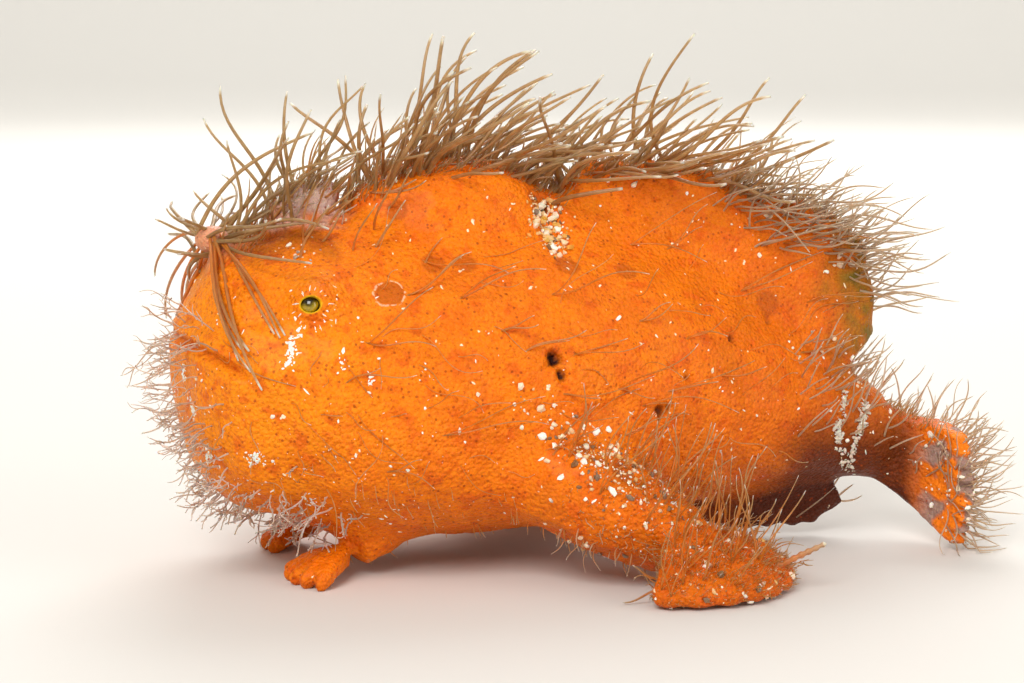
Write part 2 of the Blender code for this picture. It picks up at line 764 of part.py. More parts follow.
class Coat:
    """The skin filaments grown so far, and the surfaces that they keep clear of."""

    def __init__(self, nodes):
        self.random = random.Random(11)
        self.nodes = nodes
        self.surfaces = {name: surface_of(node) for name, node in nodes.items()}
        self.spikes = {name: [] for name in nodes}
        self.taken = []

    def patches(self, name, patch):
        """The triangles of a node's skin whose middle lies in the patch, with their areas."""
        mesh = self.nodes[name].data
        mesh.calc_loop_triangles()
        found = []
        for triangle in mesh.loop_triangles:
            corners = [mesh.vertices[i].co for i in triangle.vertices]
            if patch(sum(corners, Vector()) / 3, triangle.normal):
                found.append((corners, triangle.normal.copy(), triangle.area))
        return found

    def kept_clear(self, spot, radius):
        """The spot pushed off any skin that it comes too near."""
        margin = radius + GAP + SKIN_CLEARANCE
        for surface in self.surfaces.values():
            near, normal, _, _ = surface.find_nearest(spot, margin)
            if near is not None:
                spot = near + normal * margin
        return spot

    def free(self, name, path, radii):
        """Whether a filament is rooted in its own node and keeps its distance from all else."""
        for step in range(len(path) * 2 - 1):
            i, half = divmod(step, 2)
            spot = path[i].lerp(path[i + 1], 0.5) if half else path[i]
            radius = (radii[i] + radii[i + 1]) / 2 if half else radii[i]
            if spot.z - radius < FLOOR_CLEARANCE:
                return False
            for other, surface in self.surfaces.items():
                near, normal, _, distance = surface.find_nearest(spot)
                inside = (near - spot).dot(normal) > 0.95 * distance
                if other == name:
                    if step == 0 and not (inside and distance > radius):
                        return False
                    if step > 3 and (inside or distance < radius + 0.1):
                        return False
                elif step > 1 and (inside or distance < radius + GAP):
                    return False
            if step > 1 and self.crowded(name, spot, radius, step):
                return False
        return True

    def crowded(self, name, spot, radius, step):
        for place, width, owner in self.taken:
            apart = GAP if owner != name else 0.08 if step > 3 else -0.3
            if (spot - place).length < radius + width + apart:
                return True
        return False

    def grow(self, name, plan, patch, lie, rise=0.6, bend=0.5, segments=3, radius=FILAMENT_RADIUS):
        """Roots filaments in a patch of a node's skin, near its normal and bending to the lie of the coat."""
        draw = self.random
        count, shortest, longest = plan
        found = self.patches(name, patch)
        if not found:
            return
        areas = [area for _, _, area in found]
        for _ in range(count):
            for _ in range(FILAMENT_TRIES):
                corners, normal, _ = draw.choices(found, areas)[0]
                a, b = sorted((draw.random(), draw.random()))
                root = corners[0] * a + corners[1] * (b - a) + corners[2] * (1 - b)
                ahead = lie(root).normalized()
                sway = Vector([draw.uniform(-FILAMENT_STRAY, FILAMENT_STRAY) for _ in range(3)])
                heading = (normal * rise + ahead * (1 - rise) + sway * 0.5).normalized()
                step = draw.uniform(shortest, longest) / segments
                path = [root - heading * FILAMENT_SINK, root]
                radii = [radius, radius]
                for i in range(segments):
                    spot = path[-1] + heading * step
                    radii.append(radius * (1 - (i + 1) / segments) ** 0.7)
                    path.append(self.kept_clear(spot, radii[-1]))
                    heading = (heading + ahead * bend + sway * 0.6).normalized()
                if self.free(name, path, radii):
                    self.plant(name, path, radii)
                    break

    def plant(self, name, path, radii):
        bends = [path[0]] + path[2:]
        self.spikes[name].append(spike("filament", bends, [radii[0]] + radii[2:]))
        for i in range(1, len(path) - 1):
            for share in (0.0, 0.25, 0.5, 0.75):
                width = radii[i] + (radii[i + 1] - radii[i]) * share
                self.taken.append((path[i].lerp(path[i + 1], share), width, name))
        self.taken.append((path[-1], 0.0, name))


def grow_crest(coat):
    """Long filaments along the hump and the edge of the soft dorsal fin, leaning back."""
    swept = lambda p: Vector((0.85, 0.18 * math.copysign(1, p.y), 0.5))
    on_top = lambda p, n: p.z > 26.4 and n.z > 0.3
    coat.grow("third_dorsal_spine", HUMP_COAT, on_top, swept, rise=0.7, bend=0.35)
    above = lambda p, n: p.z > size_along(FIN_HAIR_LINE, p.x) and n.z > -0.3
    long_half = lambda p, n: above(p, n) and p.x < 20
    short_half = lambda p, n: above(p, n) and p.x >= 20
    coat.grow("soft_dorsal_fin", DORSAL_COAT, long_half, swept, bend=0.35)
    rear = lambda p: Vector((0.9, 0.35 * math.copysign(1, p.y), 0.35))
    coat.grow("soft_dorsal_fin", DORSAL_REAR_COAT, short_half, rear, bend=0.35)
    upright = lambda p: Vector((0.25, 0.3 * math.copysign(1, p.y), 1.0))
    coat.grow("second_dorsal_spine", SECOND_SPINE_COAT, lambda p, n: n.z > -0.2, upright)


def grow_lure(coat):
    """The tuft of the first spine: some filaments up and back, some forward, some down the face."""
    any_side = lambda p, n: True
    upward = lambda p: Vector((0.5, 0.4 * (p.y - LURE_CENTRE.y), 0.9))
    coat.grow("illicium", LURE_UP_COAT, any_side, upward, rise=0.8)
    forward = lambda p: Vector((-0.9, 0.8 * (p.y - LURE_CENTRE.y), 0.15))
    coat.grow("illicium", LURE_AHEAD_COAT, any_side, forward, rise=0.8)
    drooping = lambda p: Vector((0.3, math.copysign(0.8, p.y - LURE_CENTRE.y), -0.8))
    coat.grow("illicium", LURE_DOWN_COAT, lambda p, n: abs(n.y) > 0.25, drooping, rise=0.8, segments=4)


def grow_face(coat):
    """Upright filaments over the forehead, and short bristling ones on lips and chin."""
    brow = lambda p, n: p.z > 22.6 and abs(p.y) < 6
    coat.grow("head", BROW_COAT, brow, lambda p: Vector((0.3, 0.08 * p.y, 1.0)), rise=0.7)
    bristling = lambda p: Vector((-0.9, 0.09 * p.y, -0.3))
    snout = lambda p, n: p.x < -22.5 and p.z < 20.5
    coat.grow("head", SNOUT_COAT, snout, bristling, rise=0.7, segments=2)
    chin = lambda p, n: n.x < -0.1 and p.z > 3.6 and abs(p.y) < 9.5
    coat.grow("lower_jaw", CHIN_COAT, chin, bristling, rise=0.75, segments=2)


def grow_flanks(coat):
    """Sparse filaments that lie back along the flanks, and a short fringe under the belly."""
    outward = lambda p: Vector((0.7, 0.4 * math.copysign(1, p.y), 0.55))
    coat.grow("torso", BACK_COAT, lambda p, n: p.z > 21.0 and n.z > 0.2, outward, rise=0.7)
    along_flank = lambda p: Vector((1.0, 0.1 * math.copysign(1, p.y), 0.25))
    flank = lambda p, n: abs(n.y) > 0.6 and 7 < p.z < 21
    coat.grow("torso", FLANK_COAT, flank, along_flank, rise=0.35, bend=0.3)
    hanging = lambda p: Vector((0.2, 0.1 * p.y, -1.0))
    belly = lambda p, n: n.z < -0.3 and abs(p.y) > 5
    coat.grow("torso", BELLY_COAT, belly, hanging, rise=0.5, segments=2)


def grow_limbs(coat):
    """Filaments on top of the arms and on the fingers."""
    hand_top = lambda p, n: n.z > -0.2 and p.z > 0.3
    for side, mirror in (("left", -1), ("right", 1)):
        up_back = lambda p, m=mirror: Vector((0.45, 0.35 * m, 0.85))
        coat.grow(side + "_arm", ARM_COAT, lambda p, n: n.z > 0.1, up_back)
        splayed = lambda p, m=mirror: Vector((p.x - WRIST.x, p.y - m * WRIST.y, 2.0))
        coat.grow(side + "_hand", HAND_COAT, hand_top, splayed, segments=2, radius=SHORT_FILAMENT_RADIUS)


def grow_tail(coat):
    """Filaments all round the margin of the tail fin and on top of the tail stalk."""
    margin = lambda p, n: p.y < -7.5 or p.z > 9.0 or n.z > 0.6
    fanned = lambda p: Vector((0.75, -0.35, 0.22 * (p.z - 4.5)))
    coat.grow("tail_fin", TAIL_COAT, margin, fanned, rise=0.5, segments=2, radius=SHORT_FILAMENT_RADIUS)
    up_back = lambda p: Vector((0.7, 0.2 * math.copysign(1, p.y + 1.5), 0.8))
    coat.grow("tail_stalk", STALK_COAT, lambda p, n: n.z > 0.2, up_back)


def shade_smooth(thing):
    thing.data.shade_smooth()
    thing.data.set_sharp_from_angle(angle=math.radians(50))


def finish(nodes):
    """Scales to metres, sets the origin under the middle of the whole and gives each node its material."""
    corners = [v.co for node in nodes.values() for v in node.data.vertices]
    low = [min(p[k] for p in corners) for k in range(3)]
    high = [max(p[k] for p in corners) for k in range(3)]
    shift = Matrix.Translation((-(low[0] + high[0]) / 2, -(low[1] + high[1]) / 2, -low[2]))
    place = Matrix.Scale(MM, 4) @ shift
    looks = {
        "second_dorsal_spine": (SPINE_PINK, 0.5),
        "illicium": (FILAMENT_BROWN, 0.4),
        "left_eye": (EYE_OLIVE, 0.12),
        "right_eye": (EYE_OLIVE, 0.12),
    }
    group = bpy.data.collections.new(OBJECT_NAME)
    bpy.context.scene.collection.children.link(group)
    for name, node in nodes.items():
        node.name = name
        node.data.name = name
        node.data.transform(place)
        node.data.materials.clear()
        colour, roughness = looks.get(name, (SKIN_ORANGE, 0.45))
        node.data.materials.append(skin_material(name + "_finish", colour, roughness))
        shade_smooth(node)
        bpy.context.scene.collection.objects.unlink(node)
        group.objects.link(node)


def build():
    clear_scene()
    whole = flesh()
    pieces = {}
    pieces.update(upright_fins(whole))
    pieces.update(front_spines(whole))
    pieces.update(limbs(whole))
    surface = surface_of(whole)
    upper_lip = lip("upper_lip", surface, UPPER_LIP_RISE)
    lower_lip = lip("lower_lip", surface, LOWER_LIP_RISE)
    nodes = parted(whole)
    nodes.update(pieces)
    nodes.update(eyes(nodes["head"]))
    united(nodes["head"], [upper_lip])
    united(nodes["lower_jaw"], [lower_lip])
    coat = Coat(nodes)
    grow_crest(coat)
    grow_lure(coat)
    grow_face(coat)
    grow_flanks(coat)
    grow_limbs(coat)
    grow_tail(coat)
    for name, node in nodes.items():
        united(node, coat.spikes[name])
    finish(nodes)


build()
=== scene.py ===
import math

import bmesh
import bpy
import numpy as np
from mathutils import Matrix, Vector, noise
from mathutils.bvhtree import BVHTree


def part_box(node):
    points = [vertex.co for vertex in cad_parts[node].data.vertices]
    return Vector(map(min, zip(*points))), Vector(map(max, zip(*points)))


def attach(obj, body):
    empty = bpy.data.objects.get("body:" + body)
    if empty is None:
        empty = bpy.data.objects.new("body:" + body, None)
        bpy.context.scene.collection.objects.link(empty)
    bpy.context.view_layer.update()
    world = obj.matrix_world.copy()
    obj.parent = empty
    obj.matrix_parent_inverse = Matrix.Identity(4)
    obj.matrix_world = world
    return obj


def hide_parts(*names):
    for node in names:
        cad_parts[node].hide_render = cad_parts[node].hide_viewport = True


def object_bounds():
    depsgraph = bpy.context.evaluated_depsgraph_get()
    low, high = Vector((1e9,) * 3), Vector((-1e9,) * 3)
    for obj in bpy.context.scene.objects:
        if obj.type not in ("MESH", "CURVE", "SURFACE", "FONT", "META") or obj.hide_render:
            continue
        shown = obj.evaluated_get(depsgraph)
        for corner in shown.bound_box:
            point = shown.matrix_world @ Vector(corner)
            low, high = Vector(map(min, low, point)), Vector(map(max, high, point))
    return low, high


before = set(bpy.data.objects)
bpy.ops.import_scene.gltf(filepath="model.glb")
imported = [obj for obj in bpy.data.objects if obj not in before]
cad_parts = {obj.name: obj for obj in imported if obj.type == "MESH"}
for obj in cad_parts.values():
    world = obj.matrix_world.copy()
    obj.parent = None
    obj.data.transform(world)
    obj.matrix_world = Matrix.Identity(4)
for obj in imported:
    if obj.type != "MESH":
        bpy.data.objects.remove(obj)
cad_box = [list(corner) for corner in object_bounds()]
draw = np.random.default_rng(7)


# Skin, shape
# A frogfish has no scales: one soft, loose skin runs over head, trunk, hump, arms and fins without a seam.
# It is shaped here as overlapping forms that are melted into one surface, with the fin rays raised in it.

MM = 0.001
EYES_MIDDLE = np.array((-16.839, 0.004, 20.291))
eye_boxes = [np.array(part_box(name)) for name in ("left_eye", "right_eye")]
SHIFT = np.mean(eye_boxes, axis=(0, 1)) / MM - EYES_MIDDLE

NOSE_X, NOSE_ROUND = -25.3, 4.2
STALK_X, STALK_ROUND = 29.8, 1.5
BACK_LINE = (
    (-26, 22.0), (-21, 23.8), (-13, 25.4), (-5, 25.3), (4, 24.6), (12, 22.4), (19, 18.8), (25, 14.2),
    (31, 10.4),
)
BELLY_LINE = (
    (-26, 6.6), (-21, 5.0), (-13, 2.6), (-5, 2.1), (4, 2.3), (12, 3.2), (19, 4.4), (25, 4.9), (31, 4.6),
)
HALF_WIDTH = (
    (-26, 8.4), (-21, 9.9), (-13, 12.0), (-5, 12.3), (4, 11.5), (12, 9.4), (19, 6.8), (25, 4.4),
    (31, 2.4),
)
WIDEST_LINE = ((-26, 15.0), (-21, 13.5), (-13, 12.2), (-5, 11.6), (12, 11.5), (25, 9.4), (31, 7.5))
SIDEWAYS_LINE = ((-26, 0.0), (16, 0.0), (24, -0.8), (31, -3.0))
SHOULDER, ELBOW, WRIST = (1.0, 10.2, 7.4), (5.0, 12.3, 5.1), (8.8, 13.4, 3.4)
HIP, ANKLE = (-10.4, 3.8, 3.6), (-13.2, 5.4, 1.9)
BODY_CELL, SKIN_CELL = 0.5, 0.24


def size_along(line, x):
    """The smooth size at x of a line of (x, size) knots, with no overshoot between knots."""
    xs, ys = np.array(line, float).T
    slopes = np.diff(ys) / np.diff(xs)
    product, total = slopes[:-1] * slopes[1:], slopes[:-1] + slopes[1:]
    inner = np.where(product > 0, 2 * product / np.where(product > 0, total, 1), 0)
    tangents = np.concatenate([slopes[:1], inner, slopes[-1:]])
    x = np.clip(x, xs[0], xs[-1])
    i = np.clip(np.searchsorted(xs, x, side="right") - 1, 0, len(xs) - 2)
    step = xs[i + 1] - xs[i]
    t = (x - xs[i]) / step
    level = ys[i] * (1 + 2 * t) * (1 - t) ** 2 + ys[i + 1] * t * t * (3 - 2 * t)
    return level + step * (tangents[i] * t * (1 - t) ** 2 - tangents[i + 1] * t * t * (1 - t))


def unit(vectors):
    return vectors / np.maximum(np.linalg.norm(vectors, axis=-1, keepdims=True), 1e-9)


def joined(*parts):
    """Three coordinates, each a number or an array, as points."""
    return np.stack(np.broadcast_arrays(*parts), axis=-1).astype(float)


def loft(rings):
    """A closed form over rings of points, each end closed by a fan."""
    count, sides = rings.shape[:2]
    points = np.vstack([rings.reshape(-1, 3), rings[0].mean(0), rings[-1].mean(0)])
    turn = [(i, (i + 1) % sides) for i in range(sides)]
    faces = [
        (r + i, r + j, r + sides + j, r + sides + i) for r in range(0, (count - 1) * sides, sides)
        for i, j in turn
    ]
    last, end = (count - 1) * sides, count * sides
    faces += [(end, j, i) for i, j in turn] + [(end + 1, last + i, last + j) for i, j in turn]
    return points, faces


def body():
    """The trunk from snout to tail stalk: broad at the cheeks, narrower towards the back."""
    snout = NOSE_X + NOSE_ROUND * (1 - np.cos(np.linspace(0.1, 1.57, 10)))
    end = STALK_X - STALK_ROUND * np.array((1, 0.6, 0.25, 0.06))
    x = np.concatenate([snout, np.arange(-20.5, 28, 1.0), end])[:, None]
    angle = np.linspace(0, 2 * math.pi, 64, endpoint=False)[None]
    nose, stalk = np.clip((x - NOSE_X) / NOSE_ROUND, 0, 1), np.clip((STALK_X - x) / STALK_ROUND, 0, 1)
    opened = np.sqrt(1 - (1 - np.minimum(nose, stalk)) ** 2)
    up, out = np.sin(angle), np.cos(angle)
    power = np.where(up > 0, 2 / 1.85, 2 / 2.3)
    middle = size_along(WIDEST_LINE, x)
    height = np.where(up > 0, size_along(BACK_LINE, x) - middle, middle - size_along(BELLY_LINE, x)) * opened
    y = size_along(SIDEWAYS_LINE, x) + size_along(HALF_WIDTH, x) * opened * np.sign(out) * abs(out) ** power
    return loft(joined(x, y, middle + height * np.sign(up) * abs(up) ** power))


def blob(centre, radii):
    polar = np.linspace(0.03, math.pi - 0.03, 20)[:, None]
    angle = np.linspace(0, 2 * math.pi, 32, endpoint=False)
    ball = joined(np.sin(polar) * np.cos(angle), np.sin(polar) * np.sin(angle), np.cos(polar))
    return loft(np.array(centre) + ball * np.array(radii))


def rings_round(paths, radii, sides):
    """Rings of points round each path, turned as little as the path allows."""
    ahead = unit(np.gradient(paths, axis=1))
    side = unit(np.cross(ahead[:, 0], (0.31, 0.52, 0.79)))
    angle = np.linspace(0, 2 * math.pi, sides, endpoint=False)[:, None]
    rings = []
    for i in range(paths.shape[1]):
        side = unit(side - ahead[:, i] * (side * ahead[:, i]).sum(-1, keepdims=True))
        other = np.cross(ahead[:, i], side)
        spoke = side[:, None] * np.cos(angle) + other[:, None] * np.sin(angle)
        rings.append(paths[:, i, None] + spoke * radii[:, i, None, None])
    return np.stack(rings, axis=1)


def limb(knots, radii, steps=14):
    """A fleshy limb through evenly spaced knots."""
    share, even = np.linspace(0, 1, steps), np.linspace(0, 1, len(knots))
    path = joined(*[size_along(tuple(zip(even, axis)), share) for axis in np.array(knots).T])
    thick = size_along(tuple(zip(even, radii)), share)
    return loft(rings_round(path[None], thick[None], 24)[0])


def fin(sheet, rays, root_thick, edge_thick, ridge, scallop=0.07):
    """A fin with its rays raised in both faces. sheet(u, v) is its middle surface, from root to edge in v."""
    u, v = np.linspace(0, 1, rays * 14)[:, None], np.linspace(0, 1, 40)[None]
    ray = np.sin(math.pi * u * rays) ** 2
    reach = v * (1 - scallop + scallop * ray * 2 * v)
    across = sheet(np.minimum(u + 0.01, 1), reach) - sheet(np.maximum(u - 0.01, 0), reach)
    outward = sheet(u, reach + 0.01) - sheet(u, np.maximum(reach - 0.01, 0))
    rounded = np.sqrt(1 - 0.9 * np.clip(v * 12 - 11, 0, 1) ** 2)
    half = (root_thick + (edge_thick - root_thick) * v + ridge * ray * (1 - 0.4 * v)) / 2 * rounded
    swell = unit(np.cross(across, outward)) * half[..., None]
    centre = sheet(u, reach)
    return loft(np.concatenate([centre + swell, (centre - swell)[:, ::-1]], axis=1))


def between(root, edge, v):
    return root + (edge - root) * v[..., None] if np.ndim(v) else root + (edge - root) * v


def dorsal_sheet(u, v):
    """The soft dorsal fin: upright in front, its last rays swept back over the tail stalk."""
    x = 3.6 + 21.6 * u
    side = size_along(SIDEWAYS_LINE, x)
    edge_x = size_along(((0, 4.0), (0.2, 8.2), (0.5, 16.4), (0.8, 25.4), (0.92, 28.4), (1, 28.6)), u)
    edge_z = size_along(
        ((0, 28.2), (0.12, 29.2), (0.3, 29.2), (0.55, 27.3), (0.8, 24.9), (0.92, 20.6), (1, 16.0)), u,
    )
    root = joined(x, side, size_along(BACK_LINE, x) - 1.6)
    return between(root, joined(edge_x, side, edge_z), v) + joined(0, 0.5 * np.sin(2.2 * math.pi * u) * v, 0)


def anal_sheet(u, v):
    x = 13.5 + 11.0 * u
    side = size_along(SIDEWAYS_LINE, x)
    edge_x = size_along(((0, 14.2), (0.3, 18.0), (0.7, 23.2), (1, 26.6)), u)
    edge_z = size_along(((0, 1.7), (0.3, 0.8), (0.7, 0.75), (1, 2.4)), u)
    return between(joined(x, side, size_along(BELLY_LINE, x) + 1.2), joined(edge_x, side, edge_z), v)


def tail_sheet(u, v):
    """The tail fin, half closed and curled towards the fish's left."""
    start, bend = math.radians(28), math.radians(72)
    radius = 10.0 / bend
    turn = start + v * 10.0 * (1 - 0.18 * (2 * u - 1) ** 2) / radius
    x = 28.3 + radius * (np.sin(turn) - math.sin(start))
    y = -1.9 - radius * (math.cos(start) - np.cos(turn))
    root = 7.4 + 4.8 * (u - 0.5)
    return joined(x, y, root + (0.4 + 8.8 * u - root) * v)


def hand_sheet(mirror, turn):
    """A hand spread on the floor, palm down, its rays fanned from the wrist."""

    def sheet(u, v):
        angle, reach = np.radians(-122 + 128 * u + turn), 1.2 + 6.8 * v
        height = WRIST[2] - 0.4 + (0.82 - WRIST[2]) * v + 0.9 * np.sin(math.pi * v)
        return joined(WRIST[0] + reach * np.cos(angle), mirror * (WRIST[1] - reach * np.sin(angle)), height)

    return sheet


def pelvic_sheet(mirror):
    """A pelvic fin, set down like a small foot in front of the body."""

    def sheet(u, v):
        angle, reach = np.radians(152 + 84 * u), 0.6 + 4.2 * v
        height = ANKLE[2] - 0.2 + (0.6 - ANKLE[2]) * v + 0.35 * np.sin(math.pi * v)
        return joined(ANKLE[0] + reach * np.cos(angle), mirror * (ANKLE[1] - reach * np.sin(angle)), height)

    return sheet


def made(name, points, faces):
    mesh = bpy.data.meshes.new(name)
    mesh.from_pydata(np.asarray(points).tolist(), [], faces)
    thing = bpy.data.objects.new(name, mesh)
    bpy.context.scene.collection.objects.link(thing)
    return thing


def melted(name, forms, cell, smoothing):
    """Overlapping closed forms melted into one smooth surface."""
    points, faces, start = [], [], 0
    for spots, corners in forms:
        points.append(spots)
        faces += [tuple(start + i for i in face) for face in corners]
        start += len(spots)
    thing = made(name, np.vstack(points), faces)
    melt = thing.modifiers.new("melt", "REMESH")
    melt.mode, melt.voxel_size = "VOXEL", cell
    soften = thing.modifiers.new("soften", "SMOOTH")
    soften.factor, soften.iterations = 0.5, smoothing
    mesh = bpy.data.meshes.new_from_object(thing.evaluated_get(bpy.context.evaluated_depsgraph_get()))
    bpy.data.objects.remove(thing)
    return mesh


def spots_of(mesh, what="co"):
    """The points of a mesh, or their normals, as an array."""
    source = mesh.vertices if what == "co" else mesh.vertex_normals
    values = np.empty(len(mesh.vertices) * 3, np.float32)
    source.foreach_get("co" if what == "co" else "vector", values)
    return values.reshape(-1, 3).astype(float)


def set_spots(mesh, points):
    mesh.vertices.foreach_set("co", points.astype(np.float32).ravel())
    mesh.update()


fleshy = [body(), blob((-4.9, 0, 24.9), (8.3, 4.3, 5.1)), blob((1.0, 0, 24.6), (4.3, 3.5, 3.1))]
second_spine = ((-17, 0, 23.4), (-16.4, 0, 25.2), (-15.2, 0, 26.5), (-13.9, 0, 27.3), (-13.1, 0, 27.5))
thin = [
    fin(dorsal_sheet, 12, 6.4, 0.9, 0.3, 0.03),
    fin(anal_sheet, 7, 2.2, 0.9, 0.3, 0.02),
    fin(tail_sheet, 9, 2.8, 1.1, 0.6, 0.05),
    limb(second_spine, (2.1, 2.1, 1.9, 1.3, 0.5)),
    limb(((-20.9, 0, 22), (-21.6, -0.1, 23), (-22.2, -0.3, 23.8)), (0.9, 0.8, 0.75)),
    blob((-22.4, -0.3, 24.2), (1.2, 1.2, 1.0)),
]
for mirror, turn in ((-1, 0.0), (1, -9.0)):
    flip = lambda p, m=mirror: (p[0], p[1] * m, p[2])
    fleshy.append(blob(flip((-16.3, 7.6, 20.1)), (2.0, 2.0, 2.0)))
    fleshy.append(blob(flip((1.6, 8.0, 8.0)), (5.0, 3.6, 4.6)))
    fleshy.append(blob(flip((-9.6, 3.6, 4.4)), (3.2, 2.6, 2.2)))
    arm = [flip(p) for p in ((-3.4, 6.2, 9.4), SHOULDER, ELBOW, WRIST, (9.9, 13.7, 3.0))]
    fleshy.append(limb(arm, (3.2, 3.9, 3.5, 2.7, 1.5)))
    fleshy.append(limb([flip(p) for p in (HIP, (-11.8, 4.6, 2.75), ANKLE)], (1.9, 1.7, 1.5)))
    thin.append(fin(hand_sheet(mirror, turn), 8, 1.9, 1.15, 0.18, 0.008))
    thin.append(fin(pelvic_sheet(mirror), 5, 1.4, 0.9, 0.5, 0.08))

flesh = melted("flesh", fleshy, BODY_CELL, 7)
flesh_points = spots_of(flesh)
flesh_faces = [tuple(face.vertices) for face in flesh.polygons]
flesh_tree = BVHTree.FromPolygons(flesh_points.tolist(), flesh_faces)
skin_mesh = melted("skin", [(flesh_points, flesh_faces)] + thin, SKIN_CELL, 3)


def fade(value, low, high):
    """0 below low, 1 above high and smooth between."""
    t = np.clip((value - low) / (high - low), 0, 1)
    return t * t * (3 - 2 * t)


def bell(*spans):
    """1 at a place, falling off round it. Each span is a distance from it and the width of the fall."""
    return np.exp(-sum((off / width) ** 2 for off, width in spans))


def creases_filled(mesh, near, rounds):
    """Rounds the inner corners where fins and limbs leave the flesh, as soft skin does."""
    ends = np.empty(len(mesh.edges) * 2, np.int32)
    mesh.edges.foreach_get("vertices", ends)
    a, b = ends.reshape(-1, 2).T
    points = spots_of(mesh)
    count = np.bincount(a, minlength=len(points)) + np.bincount(b, minlength=len(points))
    for turn in range(rounds):
        if turn % 10 == 0:
            set_spots(mesh, points)
            normals = spots_of(mesh, "normal")
        sums = [np.bincount(a, p[b], len(p)) + np.bincount(b, p[a], len(p)) for p in points.T]
        step = np.stack(sums, 1) / count[:, None] - points
        hollow = (step * normals).sum(1) > 0
        points += step * (near * hollow)[:, None] * 0.6
    set_spots(mesh, points)


points = spots_of(skin_mesh)
off_flesh = np.array([flesh_tree.find_nearest(p)[3] for p in points.tolist()])
under_dorsal = fade(points[:, 0], 2, 5) * fade(points[:, 2], 13, 16)
creases_filled(skin_mesh, 1 - fade(off_flesh - 2.6 * under_dorsal, 1.2, 2.6), 260)


# Skin, relief
# The live skin is moist and pebbled, with warts, a few pores and pits, soft folds at the joints, a
# deep-set mouth that opens upwards, and lids of the same skin round very small eyes.

EYE_RADIUS = 0.85
EYE_OPENING = (0.69, 0.56)
MOUTH_LINE = ((-27.0, 18.1), (-25.0, 17.4), (-22.6, 16.3), (-20.3, 14.4), (-18.6, 10.5), (-17.6, 6.0))
NOSTRILS = ((-22.0, 4.6, 21.6), (-20.6, 6.2, 20.9))
# Pits and pores, with their radius.
PITS = (
    ((0.2, -11.0, 16.3), 0.5), ((0.6, -11.3, 15.3), 0.42), ((-0.4, -11.3, 15.7), 0.3),
    ((0.9, -11.2, 16.0), 0.24), ((18.9, -3.7, 17.4), 0.38), ((15.1, -6.7, 16.6), 0.34),
    ((15.4, -6.6, 17.1), 0.22), ((8.4, -10.5, 11.9), 0.4), ((9.0, -10.3, 12.2), 0.28),
    ((10.8, -9.4, 14.3), 0.26), ((2.1, -3.2, 27.4), 0.75), ((2.0, -2.6, 26.6), 0.5),
    ((3.6, 12.2, 12.5), 0.4), ((11.2, 9.2, 15.4), 0.32), ((-2.2, 11.6, 16.0), 0.36),
    ((-1.7, 11.7, 15.4), 0.26), ((18.0, 4.0, 17.0), 0.32),
)

eye_balls = {}
for side, corners in zip(("left", "right"), eye_boxes):
    eye_balls[side] = corners.mean(0) / MM - SHIFT

shape = bmesh.new()
shape.from_mesh(skin_mesh)
for reach in (2.3, 1.9):
    tight = [
        v for v in shape.verts if min((v.co - Vector(ball)).length for ball in eye_balls.values()) < reach
    ]
    inside = set(tight)
    edges = {edge for v in tight for edge in v.link_edges if edge.other_vert(v) in inside}
    bmesh.ops.subdivide_edges(shape, edges=sorted(edges, key=lambda e: e.index), cuts=1, use_grid_fill=True)
    fresh = [
        v for v in shape.verts if min((v.co - Vector(ball)).length for ball in eye_balls.values()) < reach
    ]
    for _ in range(3):
        bmesh.ops.smooth_vert(
            shape, verts=fresh, factor=0.5, use_axis_x=True, use_axis_y=True, use_axis_z=True,
        )
shape.to_mesh(skin_mesh)
shape.free()
skin_mesh.update()

points, normals = spots_of(skin_mesh), spots_of(skin_mesh, "normal")
x, y, z = points.T


def bump_near(centre, radius):
    """1 at a place and falling off round it."""
    return np.exp(-((points - np.array(centre)) ** 2).sum(1) / radius**2)


def rough(scale, start=0.0):
    """Soft noise over the skin with lumps of this many millimetres, from about -1 to 1."""
    return np.array([noise.noise(Vector(p)) for p in (points / scale + start).tolist()]) * 1.6


def warts(scale, start=0.0):
    """Rounded warts about this many millimetres apart, 1 at each crown and 0 between them."""
    near = [noise.voronoi(Vector(p))[0][0] for p in (points / scale + start).tolist()]
    return 1 - fade(np.array(near), 0.0, 0.42)


on_second = fade(z, 24.6, 25.4) * fade(-x, 12.8, 13.2) * fade(x, -19.5, -18.0) * fade(-abs(y), -3.2, -2.6)
on_lure = bump_near((-22.2, -0.3, 24.1), 1.6)
on_tail = fade(x, 29.5, 31.0)
near_hand = [fade(-np.hypot(x - WRIST[0], y - m * WRIST[1]), -9.5, -7.0) for m in (-1, 1)]
on_hand = np.maximum(*[near * fade(-z, -4.4, -3.4) * fade(abs(y), 12, 13) for near in near_hand])
on_arm = fade(abs(y), 10.5, 12.5) * fade(-z, -10.5, -7.5) * fade(x, -3, 0)
lumps, grain, coarse, fine_grain = rough(3.4), rough(1.1, 9.0), rough(6.5, 4.0), rough(0.5, 15.0)
wart, small_wart = warts(1.35), warts(0.62, 3.0)
warty = 0.35 + 0.65 * fade(rough(5.0, 21.0), -0.4, 0.5)
swell = 0.16 * lumps + 0.05 * grain + 0.12 * coarse
swell += wart * (0.09 * warty + 0.16 * on_second + 0.12 * on_tail + 0.08 * on_hand + 0.06 * on_arm)
swell += small_wart * (0.045 + 0.05 * on_second + 0.04 * on_hand)

line = size_along(MOUTH_LINE, x)
back_along = np.linspace(-27, -17.6, 60)
lean = np.interp(x, back_along, np.gradient(size_along(MOUTH_LINE, back_along), back_along))
off_mouth = (z - line) / np.sqrt(1 + lean**2)
mouth = fade(-x, 20.8, 22.6) * (normals[:, 0] < 0.6)
swell += mouth * (0.22 * bell((abs(off_mouth) - 0.7, 0.5)) - 0.4 * bell((off_mouth, 0.24)))
swell -= 0.12 * bell((off_mouth, 0.6)) * fade(-x, 17.4, 18.8) * (1 - mouth)

